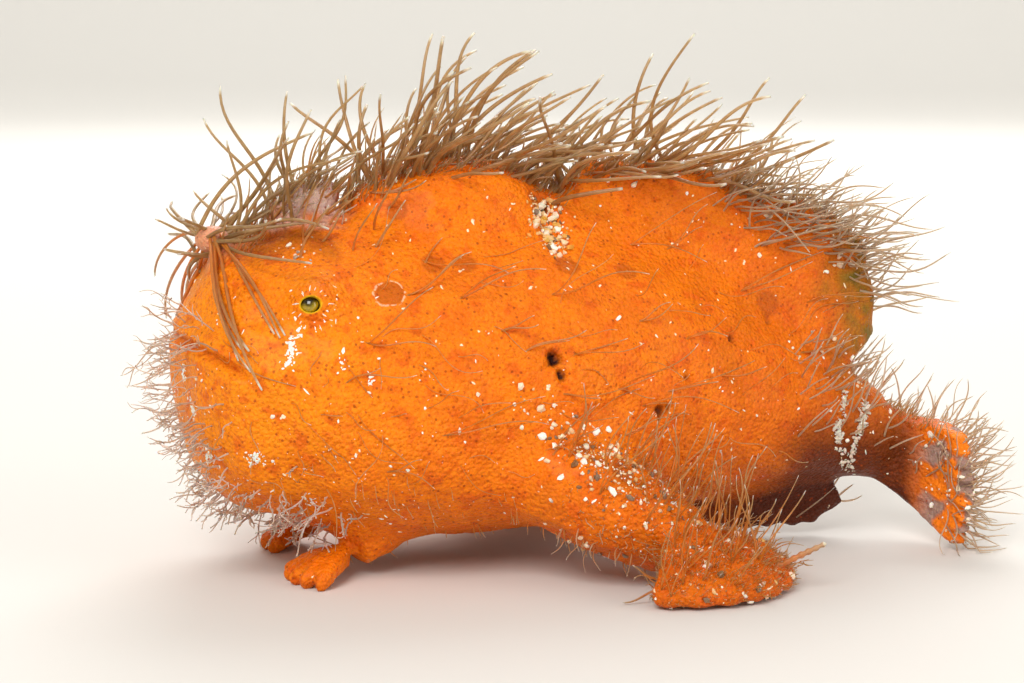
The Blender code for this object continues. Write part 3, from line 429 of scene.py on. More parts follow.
for nostril in NOSTRILS:
    for m in (-1, 1):
        far = np.linalg.norm(points - np.array((nostril[0], nostril[1] * m, nostril[2] + 0.5)), axis=1)
        swell += 0.3 * bell((far - 0.75, 0.3)) - 0.25 * bell((far, 0.5))
pitted = np.zeros(len(points))
for place, radius in PITS:
    ragged = (
        np.linalg.norm((points - np.array(place)) * (1, 1, 0.8), axis=1) + 0.13 * grain
        + 0.16 * fine_grain
    )
    pitted = np.maximum(pitted, bell((ragged, radius)) * min(1, radius / 0.6))
swell -= 1.1 * pitted
gill = np.maximum(*[bump_near((6.6, 10.4 * m, 6.6), 0.7) for m in (-1, 1)])
swell += 0.5 * np.maximum(*[bump_near((6.6, 10.6 * m, 6.6), 1.3) for m in (-1, 1)]) - 1.1 * gill
groove = bell((x - 1.9 - 0.12 * (26 - z), 0.9)) * fade(z, 21.5, 25.5) * fade(abs(y), 1.2, 2.6)
swell -= 0.75 * groove * (0.8 + 0.3 * grain)
wrinkle = np.sin(2 * math.pi * (x * 0.75 + z * 0.25 + 0.5 * lumps) / 1.25)
swell += 0.07 * wrinkle * on_arm * fade(x, 2, 5)
fold = np.sin(2 * math.pi * (z + 0.35 * x + 0.7 * lumps) / 2.1)
swell += 0.05 * fold * fade(-z, -9, -5) * fade(abs(y), 3, 6)
points += normals * (swell * fade(z, 0.0, 0.8))[:, None]
points[:, 2] = np.maximum(points[:, 2], 0.0)

eye_axes, eye_ring = {}, np.zeros(len(points))
for side, ball in eye_balls.items():
    m = -1 if side == "left" else 1
    axis = unit(np.array((-0.16, 0.95 * m, 0.24)))
    along = unit(np.cross(axis, (0.0, 0.0, 1.0)) * -m)
    upward = np.cross(along, axis) * m
    upward *= np.sign(upward[2])
    eye_axes[side] = (axis, along, upward)
    from_ball = points - ball
    height, a, b = from_ball @ axis, from_ball @ along, from_ball @ upward
    oval = np.hypot(a / EYE_OPENING[0], b / EYE_OPENING[1])
    near = (height > -0.6) & (oval < 4)
    ball_height = np.sqrt(np.maximum(EYE_RADIUS**2 - a * a - b * b, 0))
    lid = height + 0.34 * bell((oval - 1.1, 0.75))
    lid = np.where(oval < 1.35, np.maximum(lid, ball_height + 0.1), lid)
    sunk = fade(oval, 0.86, 1.05)
    moved = (ball_height - 0.3) * (1 - sunk) + lid * sunk
    points += axis * np.where(near, moved - height, 0)[:, None]
    eye_ring = np.maximum(eye_ring, near * bell((oval - 1.0, 0.14)))
set_spots(skin_mesh, points)


# Skin, colour
# Wet living skin: a mucus film over orange pigment. It lets light in a little way, so that thin edges
# glow, and the film gives a soft broken shine. The pigment is brightest on the face and deepens towards
# the back and tail. Part of this is painted light: the face is painted brighter where it is lit, and
# painted shade darkens the rear, the low body near the floor, the mouth crease, gills, pits and groove.

# Dark round spots, with their radius. Only the first has a pale ring.
SPOTS = (
    ((-11.1, -8.5, 21.0), 1.05), ((-7.6, -6.6, 22.8), 0.85), ((-5.2, -6.5, 22.8), 0.8),
    ((2.4, -6.2, 22.3), 0.95), ((4.1, -9.0, 20.8), 1.15), ((7.1, -5.8, 21.7), 0.7),
    ((19.0, -2.6, 18.4), 1.2), ((-9.4, -3.4, 26.4), 0.8), ((9.9, -4.9, 23.2), 0.9),
    ((-9.8, 9.2, 20.2), 1.05), ((-3.2, 8.4, 21.6), 0.9), ((5.6, 8.6, 20.6), 1.1),
    ((13.0, 6.6, 18.2), 1.0),
)


def colour(hexed):
    """An sRGB hex colour as the linear values that a shader takes."""
    parts = [int(hexed[i : i + 2], 16) / 255 for i in (0, 2, 4)]
    return [((c + 0.055) / 1.055) ** 2.4 if c > 0.04045 else c / 12.92 for c in parts] + [1.0]


def node(tree, kind, inputs=None, **settings):
    """Adds a shader node, sets its options and fills its inputs with values or with another node's
    output, the first one where the whole node is given."""
    new = tree.nodes.new("ShaderNode" + kind)
    for name, value in settings.items():
        setattr(new, name, value)
    for name, value in (inputs or {}).items():
        value = value.outputs[0] if isinstance(value, bpy.types.Node) else value
        if isinstance(value, bpy.types.NodeSocket):
            tree.links.new(value, new.inputs[name])
        else:
            new.inputs[name].default_value = value
    return new


def finish_named(name, **values):
    """A Principled material and its node tree, with these values on the shader's own sockets."""
    finish = bpy.data.materials.new(name)
    finish.use_nodes = True
    shader = finish.node_tree.nodes["Principled BSDF"]
    for socket, value in values.items():
        shader.inputs[socket.replace("_", " ")].default_value = value
    return finish, finish.node_tree, shader


def layered(tree, base, layers):
    """A colour with tints laid over it one after another, each by its share."""
    for share, tint in layers:
        mixed = node(tree, "Mix", {0: share, 6: base, 7: colour(tint)}, data_type="RGBA")
        base = mixed.outputs[2]
    return base


def held(mesh, name, values):
    """Keeps a number for each point of the mesh, for a material to read."""
    mesh.attributes.new(name, "FLOAT", "POINT").data.foreach_set("value", np.asarray(values, np.float32))


def placed(mesh):
    """Sets the mesh down in the part's own frame, in metres."""
    mesh.transform(Matrix.Scale(MM, 4) @ Matrix.Translation(SHIFT))


patchy = rough(2.6, 40.0)
# The brighter yellow-orange of the face and snout is partly the skin's own tone and partly painted light,
# where the face is lit most.
above_mouth = bump_near((-20.0, -9.0, 15.0), 9.0) + bump_near((-20.0, 9.0, 15.0), 9.0)
held(skin_mesh, "bright", np.clip(above_mouth + 0.8 * fade(-x, 21, 25) * fade(z, 5, 9) + 0.25 * patchy, 0, 1))
# The deeper orange on arms, hands and in patches is the skin's own tone; its rise towards the tail and the
# darkening low near the floor are painted shade.
deep = fade(x, 2, 20) * 0.6 + 0.3 * fade(-z, -5, -2.5) + 0.4 * on_hand + 0.35 * on_arm + 0.4 * patchy
held(skin_mesh, "deep", np.clip(deep, 0, 1))
# Brown behind the lure and crusted on the shoulder is the skin's own; the brown low on the rear body, under
# the belly between the hands and in the hole of the groove is painted shade.
brown = 0.9 * fade(x, 17, 22.5) * fade(-z, -12.5, -7) * (1 - on_tail)
brown += 0.8 * fade(-z, -4.6, -2.6) * fade(x, 8, 14) * fade(-abs(y), -11, -8) * (1 - on_tail)
brown += 0.42 * fade(z, 22.6, 23.8) * fade(-x, 13.2, 14.6) * fade(x, -21.5, -20) * (0.6 + 0.9 * patchy)
crusted = bell((x - 3.4, 2.6), (z - 11.2 + 0.68 * x, 0.9)) * (y < -9)
brown += 0.6 * crusted * (0.6 + 0.8 * grain)
held(skin_mesh, "brown", np.clip(brown + 0.8 * groove * fade(z, 25.0, 27.0) * (0.8 + 0.5 * grain), 0, 1))
green = 0.85 * fade(x + 1.3 * patchy, 22.6, 28.0) * fade(z, 10.0, 14.0) * (0.75 + 0.5 * grain)
held(skin_mesh, "green", np.clip(green, 0, 1))
pink = (
    fade(z + 0.9 * grain, 24.4, 26.6) * fade(-x + 0.5 * grain, 12.4, 13.6)
    * fade(x + 0.5 * grain, -19.0, -16.8)
)
held(skin_mesh, "pink", np.clip(pink * fade(-abs(y), -3.4, -2.4) + on_lure, 0, 1))
rim_lump = fade(rough(1.9, 33.0) + 0.35 * grain, -0.3, 0.0) * on_tail
held(skin_mesh, "vivid", rim_lump * fade(-y, 5.5, 7.5))
held(skin_mesh, "veiled", (1 - rim_lump) * on_tail * fade(-y, 4.5, 7.0))
# The dark red in the mouth crease and the gill openings is painted shade.
held(skin_mesh, "crease", np.clip(0.5 * mouth * bell((off_mouth, 0.3)) + 0.9 * gill, 0, 1))
# The near-black inside the pits and the gill openings is painted shade.
held(skin_mesh, "pit", np.clip(pitted * 2.2 - 0.35 + 0.9 * gill, 0, 1))
held(skin_mesh, "eye_ring", eye_ring)

wet_skin, tree, shader = finish_named(
    "wet_orange_skin", Roughness=0.46, IOR=1.38, Specular_IOR_Level=0.3, Subsurface_Weight=0.15,
    Subsurface_Scale=0.0007, Subsurface_Radius=(1.0, 0.3, 0.06), Coat_Weight=0.1, Coat_Roughness=0.2,
    Coat_IOR=1.34,
)
where = node(tree, "TexCoord").outputs["Object"]
mm = node(tree, "Mapping", {"Vector": where, "Location": -SHIFT, "Scale": (1000, 1000, 1000)})
share = {
    name: node(tree, "Attribute", attribute_name=name).outputs["Fac"]
    for name in ("bright", "deep", "brown", "green", "pink", "vivid", "veiled", "crease", "pit", "eye_ring")
}
cloud = node(tree, "TexNoise", {"Vector": mm, "Scale": 0.45, "Detail": 4.0, "Roughness": 0.6})
cloudy = node(tree, "MapRange", {"Value": cloud, 1: 0.44, 2: 0.66, 4: 0.85})
# Redder patches, where the dark pores crowd together, are 1 to 2 mm across.
patches = node(tree, "TexNoise", {"Vector": mm, "Scale": 0.8, "Detail": 2.0, "Roughness": 0.5})
reddened = node(tree, "MapRange", {"Value": patches, 1: 0.54, 2: 0.68, 4: 0.7})
# The net of fine pores is about 0.25 mm across and the dark grains 0.6 mm apart.
fine = node(tree, "TexNoise", {"Vector": mm, "Scale": 3.4, "Detail": 3.0, "Roughness": 0.75})
netted = node(tree, "MapRange", {"Value": fine, 1: 0.5, 2: 0.66, 4: 0.75})
cells = node(tree, "TexVoronoi", {"Vector": mm, "Scale": 2.3, "Randomness": 1.0})
dot = node(tree, "MapRange", {"Value": cells, 1: 0.3, 2: 0.14, 4: 0.75})
some = node(tree, "SeparateColor", {0: cells.outputs["Color"]})
crowded = node(tree, "Math", {0: some, 1: reddened}, operation="ADD")
chosen = node(tree, "Math", {0: crowded, 1: 0.72}, operation="GREATER_THAN")
dotted = node(tree, "Math", {0: dot, 1: chosen}, operation="MULTIPLY")
# Pale dashes lie every 2 mm or so and are 0.1 to 0.2 mm wide.
bent = node(tree, "TexNoise", {"Vector": mm, "Scale": 0.9})
bent = node(tree, "VectorMath", {0: bent.outputs["Color"], 1: (1.6, 1.6, 1.6)}, operation="MULTIPLY")
bent = node(tree, "VectorMath", {0: mm, 1: bent}, operation="ADD")
flecks = node(tree, "TexVoronoi", {"Vector": bent, "Scale": 0.85})
dash = node(tree, "MapRange", {"Value": flecks, 1: 0.11, 2: 0.08})
few = node(tree, "SeparateColor", {0: flecks.outputs["Color"]})
chosen = node(tree, "Math", {0: few.outputs[1], 1: 0.45}, operation="GREATER_THAN")
dashed = node(tree, "Math", {0: dash, 1: chosen}, operation="MULTIPLY")

spotted, ringed = 0.0, 0.0
wobble = node(tree, "Math", {0: cloud, 1: 0.9}, operation="MULTIPLY")
for place, radius in SPOTS:
    far = node(tree, "VectorMath", {0: mm, 1: place}, operation="DISTANCE").outputs["Value"]
    far = node(tree, "Math", {0: far, 1: wobble}, operation="ADD")
    inner = node(tree, "MapRange", {"Value": far, 1: radius + 0.62, 2: radius + 0.34, 4: 0.72})
    spotted = node(tree, "Math", {0: spotted, 1: inner}, operation="MAXIMUM")
    if place == SPOTS[0][0]:
        off_ring = node(tree, "Math", {0: far, 1: radius + 0.52}, operation="SUBTRACT")
        off_ring = node(tree, "Math", {0: off_ring}, operation="ABSOLUTE")
        ring = node(tree, "MapRange", {"Value": off_ring, 1: 0.1, 2: 0.04, 4: 0.8})
        broken = node(tree, "TexNoise", {"Vector": mm, "Scale": 2.6, "Detail": 2.0})
        broken = node(tree, "MapRange", {"Value": broken, 1: 0.46, 2: 0.52})
        ringed = node(tree, "Math", {0: ring, 1: broken}, operation="MULTIPLY")

# Among these tints, the deeper orange and the brown are in part painted shade, the dark red of the crease and
# the near-black of the pits wholly, and the bright yellow-orange of the face is in part painted light.
tints = [
    (cloudy, "EC6C00"), (share["deep"], "D66200"), (share["bright"], "FF9000"), (reddened, "E05A00"),
    (spotted, "B85200"), (netted, "D65E00"), (share["green"], "74620E"), (share["brown"], "5A2002"),
    (share["pink"], "D2AC9C"), (share["vivid"], "FF8412"), (share["veiled"], "A88678"),
    (share["crease"], "B83400"), (dotted, "A44000"), (dashed, "FFE9C4"), (ringed, "F4C09A"),
    (share["pit"], "2E0604"), (share["eye_ring"], "F0C010"),
]
base = layered(tree, colour("FA8000"), tints)
tree.links.new(base, shader.inputs["Base Color"])
pebble = node(tree, "TexVoronoi", {"Vector": mm, "Scale": 3.2})
raised = node(tree, "Math", {0: fine, 1: pebble}, operation="SUBTRACT")
bumped = node(tree, "Bump", {"Height": raised, "Strength": 0.9, "Distance": 0.0002})
tree.links.new(bumped.outputs[0], shader.inputs["Normal"])

skin_points, skin_normals = spots_of(skin_mesh), spots_of(skin_mesh, "normal")
skin_tree = BVHTree.FromPolygons(skin_points.tolist(), [tuple(face.vertices) for face in skin_mesh.polygons])
placed(skin_mesh)
skin_mesh.shade_smooth()
skin = bpy.data.objects.new("skin", skin_mesh)
bpy.context.scene.collection.objects.link(skin)
skin_mesh.materials.append(wet_skin)
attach(skin, "root")
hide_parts(*[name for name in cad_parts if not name.endswith("_eye")])


# Eyes
# Each is a small glassy ball set in lids of skin: a clear wet cornea over an olive-gold iris, darker
# above, with a dark pupil. It sits in its socket and shows only through the opening of the lids.

wet_eye, tree, shader = finish_named(
    "clear_wet_cornea", Roughness=0.06, IOR=1.376, Coat_Weight=0.6, Coat_Roughness=0.03,
)
part = {
    name: node(tree, "Attribute", attribute_name=name).outputs["Fac"]
    for name in ("across", "turned", "upper")
}
spun = node(tree, "CombineXYZ", {0: part["turned"], 1: part["across"]})
streaks = node(tree, "TexNoise", {"Vector": spun, "Scale": 4.5, "Detail": 4.0, "Roughness": 0.7})
streaky = node(tree, "MapRange", {"Value": streaks, 1: 0.45, 2: 0.68})
pupil = node(tree, "MapRange", {"Value": part["across"], 1: 0.36, 2: 0.22, 4: 0.7})
edge = node(tree, "MapRange", {"Value": part["across"], 1: 0.7, 2: 0.8})
base = layered(
    tree, colour("A88A0C"),
    [(streaky, "6A6408"), (part["upper"], "1C1404"), (pupil, "120C02"), (edge, "16120A")],
)
tree.links.new(base, shader.inputs["Base Color"])

for side, ball in eye_balls.items():
    axis, along, upward = eye_axes[side]
    polar = np.linspace(0.02, math.pi - 0.02, 40)[:, None]
    angle = np.linspace(0, 2 * math.pi, 48, endpoint=False)
    a, b, ahead = np.sin(polar) * np.cos(angle), np.sin(polar) * np.sin(angle), np.cos(polar)
    bulge = EYE_RADIUS * (1 + 0.03 * bell((polar, 0.5)))
    rings = ball + (
        a[..., None] * along + b[..., None] * upward + (ahead + 0 * a)[..., None] * axis
    ) * bulge[..., None]
    eye = made(side + "_eyeball", *loft(rings))
    offset = np.hypot(a - 0.14, b - 0.1)
    flat = [
        np.concatenate([v.ravel(), [v[0].mean(), v[-1].mean()]])
        for v in (offset, np.abs(np.arctan2(b - 0.1, a - 0.14)), fade(b + 0.2 * a, -0.12, 0.34))
    ]
    for name, values in zip(("across", "turned", "upper"), flat):
        held(eye.data, name, values)
    placed(eye.data)
    eye.data.shade_smooth()
    eye.data.materials.append(wet_eye)
    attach(eye, "root")
    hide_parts(side + "_eye")


# Skin filaments
# The species is hidden by hundreds of fine soft filaments, drawn out of the skin itself: brown and
# translucent, widest at the root, a little kinked, and ending in a pale bead. They are grown from the
# skin and kept off it.

LOW, HIGH = (np.array(corner) / MM - SHIFT for corner in cad_box)
ROOT_SINK = 0.25
BOX_MARGIN, FLOOR_MARGIN = 0.12, 0.1
TRIES_A_ROOT = 6
MEANT_STEPS = 9
FULL_TURN = 6.28

soft_filament, tree, shader = finish_named(
    "brown_skin_filament", Roughness=0.34, IOR=1.34, Subsurface_Weight=0.4, Subsurface_Scale=0.0005,
    Subsurface_Radius=(1.0, 0.6, 0.35), Transmission_Weight=0.5, Coat_Weight=0.1, Coat_Roughness=0.2,
)
share = {
    name: node(tree, "Attribute", attribute_name=name).outputs["Fac"]
    for name in ("along", "shade", "orange", "pale")
}
where = node(tree, "TexCoord").outputs["Object"]
# Darker grains of pigment lie every 0.7 mm or so along a filament.
mottle = node(tree, "TexNoise", {"Vector": where, "Scale": 1400.0, "Detail": 2.0})
mottled = node(tree, "MapRange", {"Value": mottle, 1: 0.42, 2: 0.7, 4: 0.6})
tip = node(tree, "MapRange", {"Value": share["along"], 1: 0.93, 2: 0.975})
paler = node(tree, "MapRange", {"Value": share["along"], 1: 0.5, 2: 0.95, 4: 0.4})
base = layered(
    tree,
    colour("BC9662"),
    [
        (share["shade"], "9A7644"), (mottled, "D0AE78"), (paler, "D8BE94"), (share["pale"], "F2DCCE"),
        (share["orange"], "F28A1C"), (tip, "FFF6E2"),
    ],
)
tree.links.new(base, shader.inputs["Base Color"])


def rooted(density, count, apart):
    """Places on the skin for filaments, thick where the density is high and never closer than apart."""
    picks = draw.choice(len(skin_points), size=count * TRIES_A_ROOT, p=density / density.sum())
    kept, taken = [], {}
    near = [(i, j, k) for i in (-1, 0, 1) for j in (-1, 0, 1) for k in (-1, 0, 1)]
    for pick in picks:
        cell = tuple((skin_points[pick] / apart).astype(int))
        around = [taken.get((cell[0] + i, cell[1] + j, cell[2] + k)) for i, j, k in near]
        if any(other is not None and np.linalg.norm(skin_points[pick] - other) < apart for other in around):
            continue
        taken[cell] = skin_points[pick]
        kept.append(pick)
        if len(kept) == count:
            break
    return np.array(kept)


def grown(roots, headings, lengths, lie, bend, curl, thick, knots):
    """Paths of filaments that leave their roots along the headings, bend to the lie of the coat and
    keep off the skin. Bend and curl are given for a filament of MEANT_STEPS steps."""
    step = (lengths / (knots - 1))[:, None]
    sideways = unit(np.cross(headings, unit(draw.normal(size=headings.shape))))
    phase, waves = draw.uniform(0, FULL_TURN, (len(roots), 1)), draw.uniform(0.4, 1.0, (len(roots), 1))
    paths = [roots - headings * ROOT_SINK, roots]
    for i in range(knots - 1):
        spots = paths[-1] + headings * step
        for k, spot in enumerate(spots):
            near, normal, _, far = skin_tree.find_nearest(spot.tolist())
            clear = thick[k] * 0.9 + 0.02
            if (Vector(spot) - near).dot(normal) < 0 or far < clear:
                spots[k] = near + normal * clear
        spots[:, 2] = np.maximum(spots[:, 2], thick * 1.3 + 0.06)
        paths.append(spots)
        sway = sideways * np.sin(phase + waves * FULL_TURN * i / knots) * curl * MEANT_STEPS / (knots - 1)
        headings = unit(unit(spots - paths[-2]) + lie(spots) * bend * MEANT_STEPS / (knots - 1) + sway)
    paths = np.stack(paths, axis=1)
    reach = paths - roots[:, None]
    room = np.where(
        reach > 0, HIGH - BOX_MARGIN - roots[:, None],
        roots[:, None] - LOW - (BOX_MARGIN, BOX_MARGIN, FLOOR_MARGIN),
    )
    fit = np.minimum(1, (np.maximum(room, 0.01) / np.maximum(abs(reach), 1e-6)).min(axis=(1, 2)))
    return roots[:, None] + reach * fit[:, None, None]


ball_far = np.min([np.linalg.norm(skin_points - ball, axis=1) for ball in eye_balls.values()], axis=0)
off_eyes = fade(ball_far, 2.3, 3.2)


def coat(
    name, count, where_grown, lengths, lie, rise=0.6, bend=0.15, curl=0.12, stray=0.3, radius=0.15, apart=0.4,
    orange=0.0, pale=0.0, twigs=0, tuft=1, knots=10, sides=5, taper=(1.15, 0.92, 0.55, 0.32), beads=0.0,
    slot="orange_skin",
):
    """One coat piece: a patch of filaments, some of them in tufts, with twigs where they branch.
    Rise is how far they stand up from the skin, stray how loose they are, apart the least distance
    between roots, and taper their thickness at the root, the middle, near the end and at the end."""
    chosen = rooted(np.maximum(where_grown, 0) * off_eyes + 1e-12, count // tuft, apart)
    roots, normals = (np.repeat(values[chosen], tuft, axis=0) for values in (skin_points, skin_normals))
    long = lengths[0] + (lengths[1] - lengths[0]) * draw.random(len(roots)) ** 1.4
    ahead = unit(lie(roots))
    headings = unit(normals * rise + ahead * (1 - rise) + draw.normal(size=roots.shape) * stray * 0.5)
    headings = unit(headings + normals * np.maximum(0.1 - (headings * normals).sum(1), 0)[:, None])
    thick = radius * (0.75 + 0.4 * draw.random(len(roots)))
    unit_lie = lambda p: unit(lie(p))
    paths = grown(roots, headings, long, unit_lie, bend, curl, thick, knots)
    shade, faded = draw.random(len(roots)), pale * (0.6 + 0.4 * draw.random(len(roots)))
    sets = [(paths, thick, shade, faded, roots)]
    for _ in range(twigs):
        at = draw.integers(knots * 2 // 5, knots - 2, len(roots))
        fork = paths[np.arange(len(roots)), at]
        turned = unit(unit(fork - paths[np.arange(len(roots)), at - 1]) + draw.normal(size=fork.shape) * 0.6)
        small = grown(
            fork, turned, long * draw.uniform(0.2, 0.42, len(roots)), unit_lie, bend, curl, thick * 0.6,
            knots,
        )
        sets.append((small, thick * 0.66, shade, faded, roots))
    paths, thick, shade, faded, roots = (np.concatenate(parts) for parts in zip(*sets))
    count, rows = paths.shape[:2]
    share_along = np.linspace(0, 1, rows)
    root, middle, late, end = taper
    radii = thick[:, None] * np.interp(
        share_along, (0, 0.1, 0.55, 0.92, 0.97, 1), (root, 1.0, middle, late, late + 0.08, end),
    )
    radii = radii * (1 + beads * (np.arange(rows) % 4 < 2))
    rings = rings_round(paths, radii, sides)
    first = np.arange(count)[:, None, None] * rows * sides + np.arange(rows - 1)[:, None] * sides
    i = np.arange(sides)
    j = (i + 1) % sides
    quads = np.stack([first + i, first + j, first + sides + j, first + sides + i], axis=-1).reshape(-1, 4)
    caps = (np.arange(count) * rows + rows - 1)[:, None] * sides + i
    thing = made(name, rings.reshape(-1, 3), quads.tolist() + caps.tolist())
    held(thing.data, "along", np.repeat(np.tile(share_along, count), sides))
    held(thing.data, "shade", np.repeat(shade, rows * sides))
    held(thing.data, "pale", np.repeat(faded, rows * sides))
    warm = orange * np.clip(1.25 - 1.2 * share_along, 0, 1) * (0.6 + 0.4 * shade[:, None])
    held(thing.data, "orange", np.repeat(warm.ravel(), sides))
    turn = np.arctan2(roots[:, 1], roots[:, 2] - 12.0) / (2 * math.pi) + 0.5
    home = np.stack([(roots[:, 0] - LOW[0]) / (HIGH[0] - LOW[0]), turn], axis=1) * 0.99
    local = np.stack(
        np.meshgrid(share_along, np.arange(sides) / sides, indexing="ij"), axis=-1,
    ).reshape(-1, 2) * 0.003
    spread = (home[:, None] + local[None]).reshape(-1, 2)
    corners = np.empty(len(thing.data.loops), np.int32)
    thing.data.loops.foreach_get("vertex_index", corners)
    thing.data.uv_layers.new(name="OFBake").data.foreach_set("uv", spread[corners].astype(np.float32).ravel())
    placed(thing.data)
    thing.data.shade_smooth()
    thing.data.materials.append(soft_filament)
    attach(thing, "root")


x, y, z = skin_points.T
nx, ny, nz = skin_normals.T


def swept(back, out, up):
    """A lie of the coat: so much towards the tail, away from the midline and up."""
    return lambda p: joined(back, out * np.sign(p[:, 1] + 1e-6), up)


# The crest: long, thick filaments on the hump and the dorsal fin, and finer ones among them. It follows the
# back's top edge, found at each x.
steps = np.arange(x.min() + 0.4, x.max() - 0.3, 0.5)
tops = [z[abs(x - step) < 0.4].max() for step in steps]
off_top = z - np.interp(x, steps, tops)
on_edge = fade(off_top, -1.5, -0.4)
on_hump = on_edge * fade(x, -12.0, -9.5) * fade(-x, -3.5, -0.5)
coat(
    "hump_filaments", 88, on_hump, (5.0, 12.0), swept(1.0, 0.1, 0.02), rise=0.72, bend=0.12, curl=0.17,
    stray=0.42, radius=0.17, apart=0.5, orange=0.2, knots=18, sides=6, taper=(1.25, 0.88, 0.66, 0.56),
)
on_fin = on_edge * fade(x, 2.5, 4.0)
coat(
    "dorsal_filaments", 78, on_fin * fade(-x, -20, -16), (4.5, 11.5), swept(1.0, 0.15, 0.0), rise=0.66,
    bend=0.11, curl=0.19, stray=0.45, radius=0.155, apart=0.5, orange=0.2, knots=18, sides=6,
    taper=(1.25, 0.88, 0.66, 0.56),
)
coat(
    "crest_filaments", 90, on_hump + on_fin * fade(-x, -20, -16), (2.0, 6.0), swept(0.9, 0.25, 0.4),
    rise=0.55, bend=0.12, curl=0.22, stray=0.6, radius=0.09, apart=0.42, orange=0.4, pale=0.2, knots=13,
)
# A dense, fine fringe behind the dorsal fin.
at_rear = fade(x, 15, 20) * fade(off_top, -5.0, -1.0) * fade(z, 13, 15)
coat(
    "rear_filaments", 260, at_rear, (2.5, 7.5), swept(0.95, 0.3, 0.25), rise=0.55, bend=0.11, curl=0.24,
    stray=0.5, radius=0.085, apart=0.38, pale=0.4, knots=13,
)
# The pink second spine.
coat(
    "spine_filaments", 18, on_second * fade(z, 25.0, 26.4), (3.5, 11.0), swept(0.4, 0.12, 0.9), rise=0.5,
    bend=0.13, curl=0.28, radius=0.145, apart=0.6, knots=15, sides=6, taper=(1.15, 0.85, 0.6, 0.45),
    slot="pink_spine_skin",
)
coat(
    "spine_fringe", 30, on_second, (1.0, 3.4), swept(0.8, 0.25, 0.6), rise=0.55, bend=0.1, curl=0.2,
    radius=0.075, apart=0.4, pale=0.6, slot="pink_spine_skin",
)


def off_place(*place):
    """How far each point of the skin is from a place."""
    return np.linalg.norm(skin_points - np.array(place), axis=1)


def from_lure(back, out, up):
    """A lie for the lure's filaments, which spread from its own middle."""
    return lambda p: joined(back, out * (p[:, 1] + 0.3), up)


# The lure: a pink knob with filaments spread up, back, ahead and down over the face.
knob = bell((off_place(-22.3, -0.3, 24.1), 1.5))
lure = {
    "radius": 0.155, "apart": 0.35, "knots": 15, "sides": 6, "taper": (1.1, 0.88, 0.62, 0.48),
    "slot": "filament_skin",
}
coat(
    "lure_up", 7, knob * (nz > -0.3), (6.0, 11.0), from_lure(0.6, 0.35, 0.7), rise=0.4, bend=0.14,
    curl=0.3, **lure,
)
coat(
    "lure_back", 14, knob * (nz > -0.2), (6.5, 12.5), from_lure(1.0, 0.4, 0.16), rise=0.62, bend=0.16,
    curl=0.22, **lure,
)
coat(
    "lure_ahead", 7, knob * (nx < 0.2), (3.5, 6.5), from_lure(-0.9, 0.5, 0.2), rise=0.5, bend=0.09,
    curl=0.32, **lure,
)
down_face = lambda p: joined(0.1 + 0.1 * (24 - p[:, 2]), np.sign(p[:, 1] + 0.3) * 0.6, -0.8)
lure["radius"] = 0.14
coat(
    "lure_down", 18, knob * (abs(ny) > 0.2) * (nz < 0.6) * (abs(nx) < 0.4), (9.0, 17.0), down_face,
    rise=0.4, bend=0.2, curl=0.07, orange=0.9, **lure,
)

# The head: a few on the brow, branched ones on the snout and the chin, and loose threads on the cheeks.
on_brow = fade(z, 22.4, 23.4) * fade(-x, 8.5, 10.5) * fade(-abs(y), -7, -5) * (1 - knob) * (nz > 0.2)
coat(
    "brow_filaments", 44, on_brow, (2.5, 6.0), swept(0.7, 0.1, 0.8), rise=0.5, bend=0.12, radius=0.1,
    apart=0.6, orange=0.5,
)
on_face = fade(-nx, 0.05, 0.5) * fade(-z, -20.5, -18.5) * fade(-abs(y), -10.5, -9) * (1 - 0.75 * mouth)
coat(
    "face_filaments", 75, on_face * fade(-nx, 0.62, 0.85) * fade(z, 10, 12), (1.8, 4.8),
    swept(-0.9, 0.35, -0.15), rise=0.7, bend=0.08, curl=0.36, radius=0.06, apart=0.55, orange=0.2,
    pale=0.9, twigs=2, knots=12,
)
on_cheek = (
    fade(-x, 6, 10) * fade(-nx, -0.3, 0.0) * fade(abs(ny), 0.3, 0.6) * fade(z, 6, 8) * fade(-z, -19, -17)
)
coat(
    "face_threads", 60, on_cheek, (1.2, 5.0), swept(0.5, 0.1, -0.6), rise=0.12, bend=0.05, curl=0.34,
    stray=1.0, radius=0.045, apart=1.2, orange=1.0, knots=13,
)
on_chin = (
    on_face * fade(-x, 11, 15) * fade(z, 3.2, 4.4) * fade(-z, -12.5, -10.5)
    * (0.06 + fade(-nx, 0.58, 0.82) + fade(-nz, 0.4, 0.7))
)
coat(
    "chin_filaments", 170, on_chin, (1.2, 3.8), swept(-0.8, 0.4, -0.4), rise=0.65, bend=0.1, curl=0.42,
    radius=0.07, apart=0.5, orange=0.12, pale=1.0, twigs=3, knots=12, taper=(1.3, 0.85, 0.7, 0.75),
)
# The flanks and the belly, thinly covered so that the skin shows.
on_flank = fade(abs(ny), 0.45, 0.7) * fade(z, 6.5, 9) * fade(-abs(z - 16), -9, -7) * fade(x, -17, -10)
coat(
    "flank_filaments", 110, on_flank, (2.5, 8.0), swept(0.95, 0.1, 0.2), rise=0.24, bend=0.06, curl=0.2,
    stray=0.6, radius=0.062, apart=2.2, orange=1.0, tuft=2, knots=14,
)
coat(
    "flank_threads", 90, on_flank + 0.6 * fade(abs(ny), 0.4, 0.7) * fade(-x, 12, 16), (1.5, 5.5),
    swept(0.8, 0.1, -0.2), rise=0.2, bend=0.06, curl=0.32, stray=0.9, radius=0.045, apart=1.3, orange=1.0,
    knots=13,
)
on_belly = fade(-nz, 0.15, 0.6) * fade(abs(y), 4.5, 6.5) * fade(-abs(x + 3), -20, -16) * (z > 0.9)
coat(
    "belly_filaments", 190, on_belly, (0.4, 1.3), swept(0.3, 0.2, -1.0), rise=0.5, radius=0.04,
    apart=0.45, orange=0.95,
)
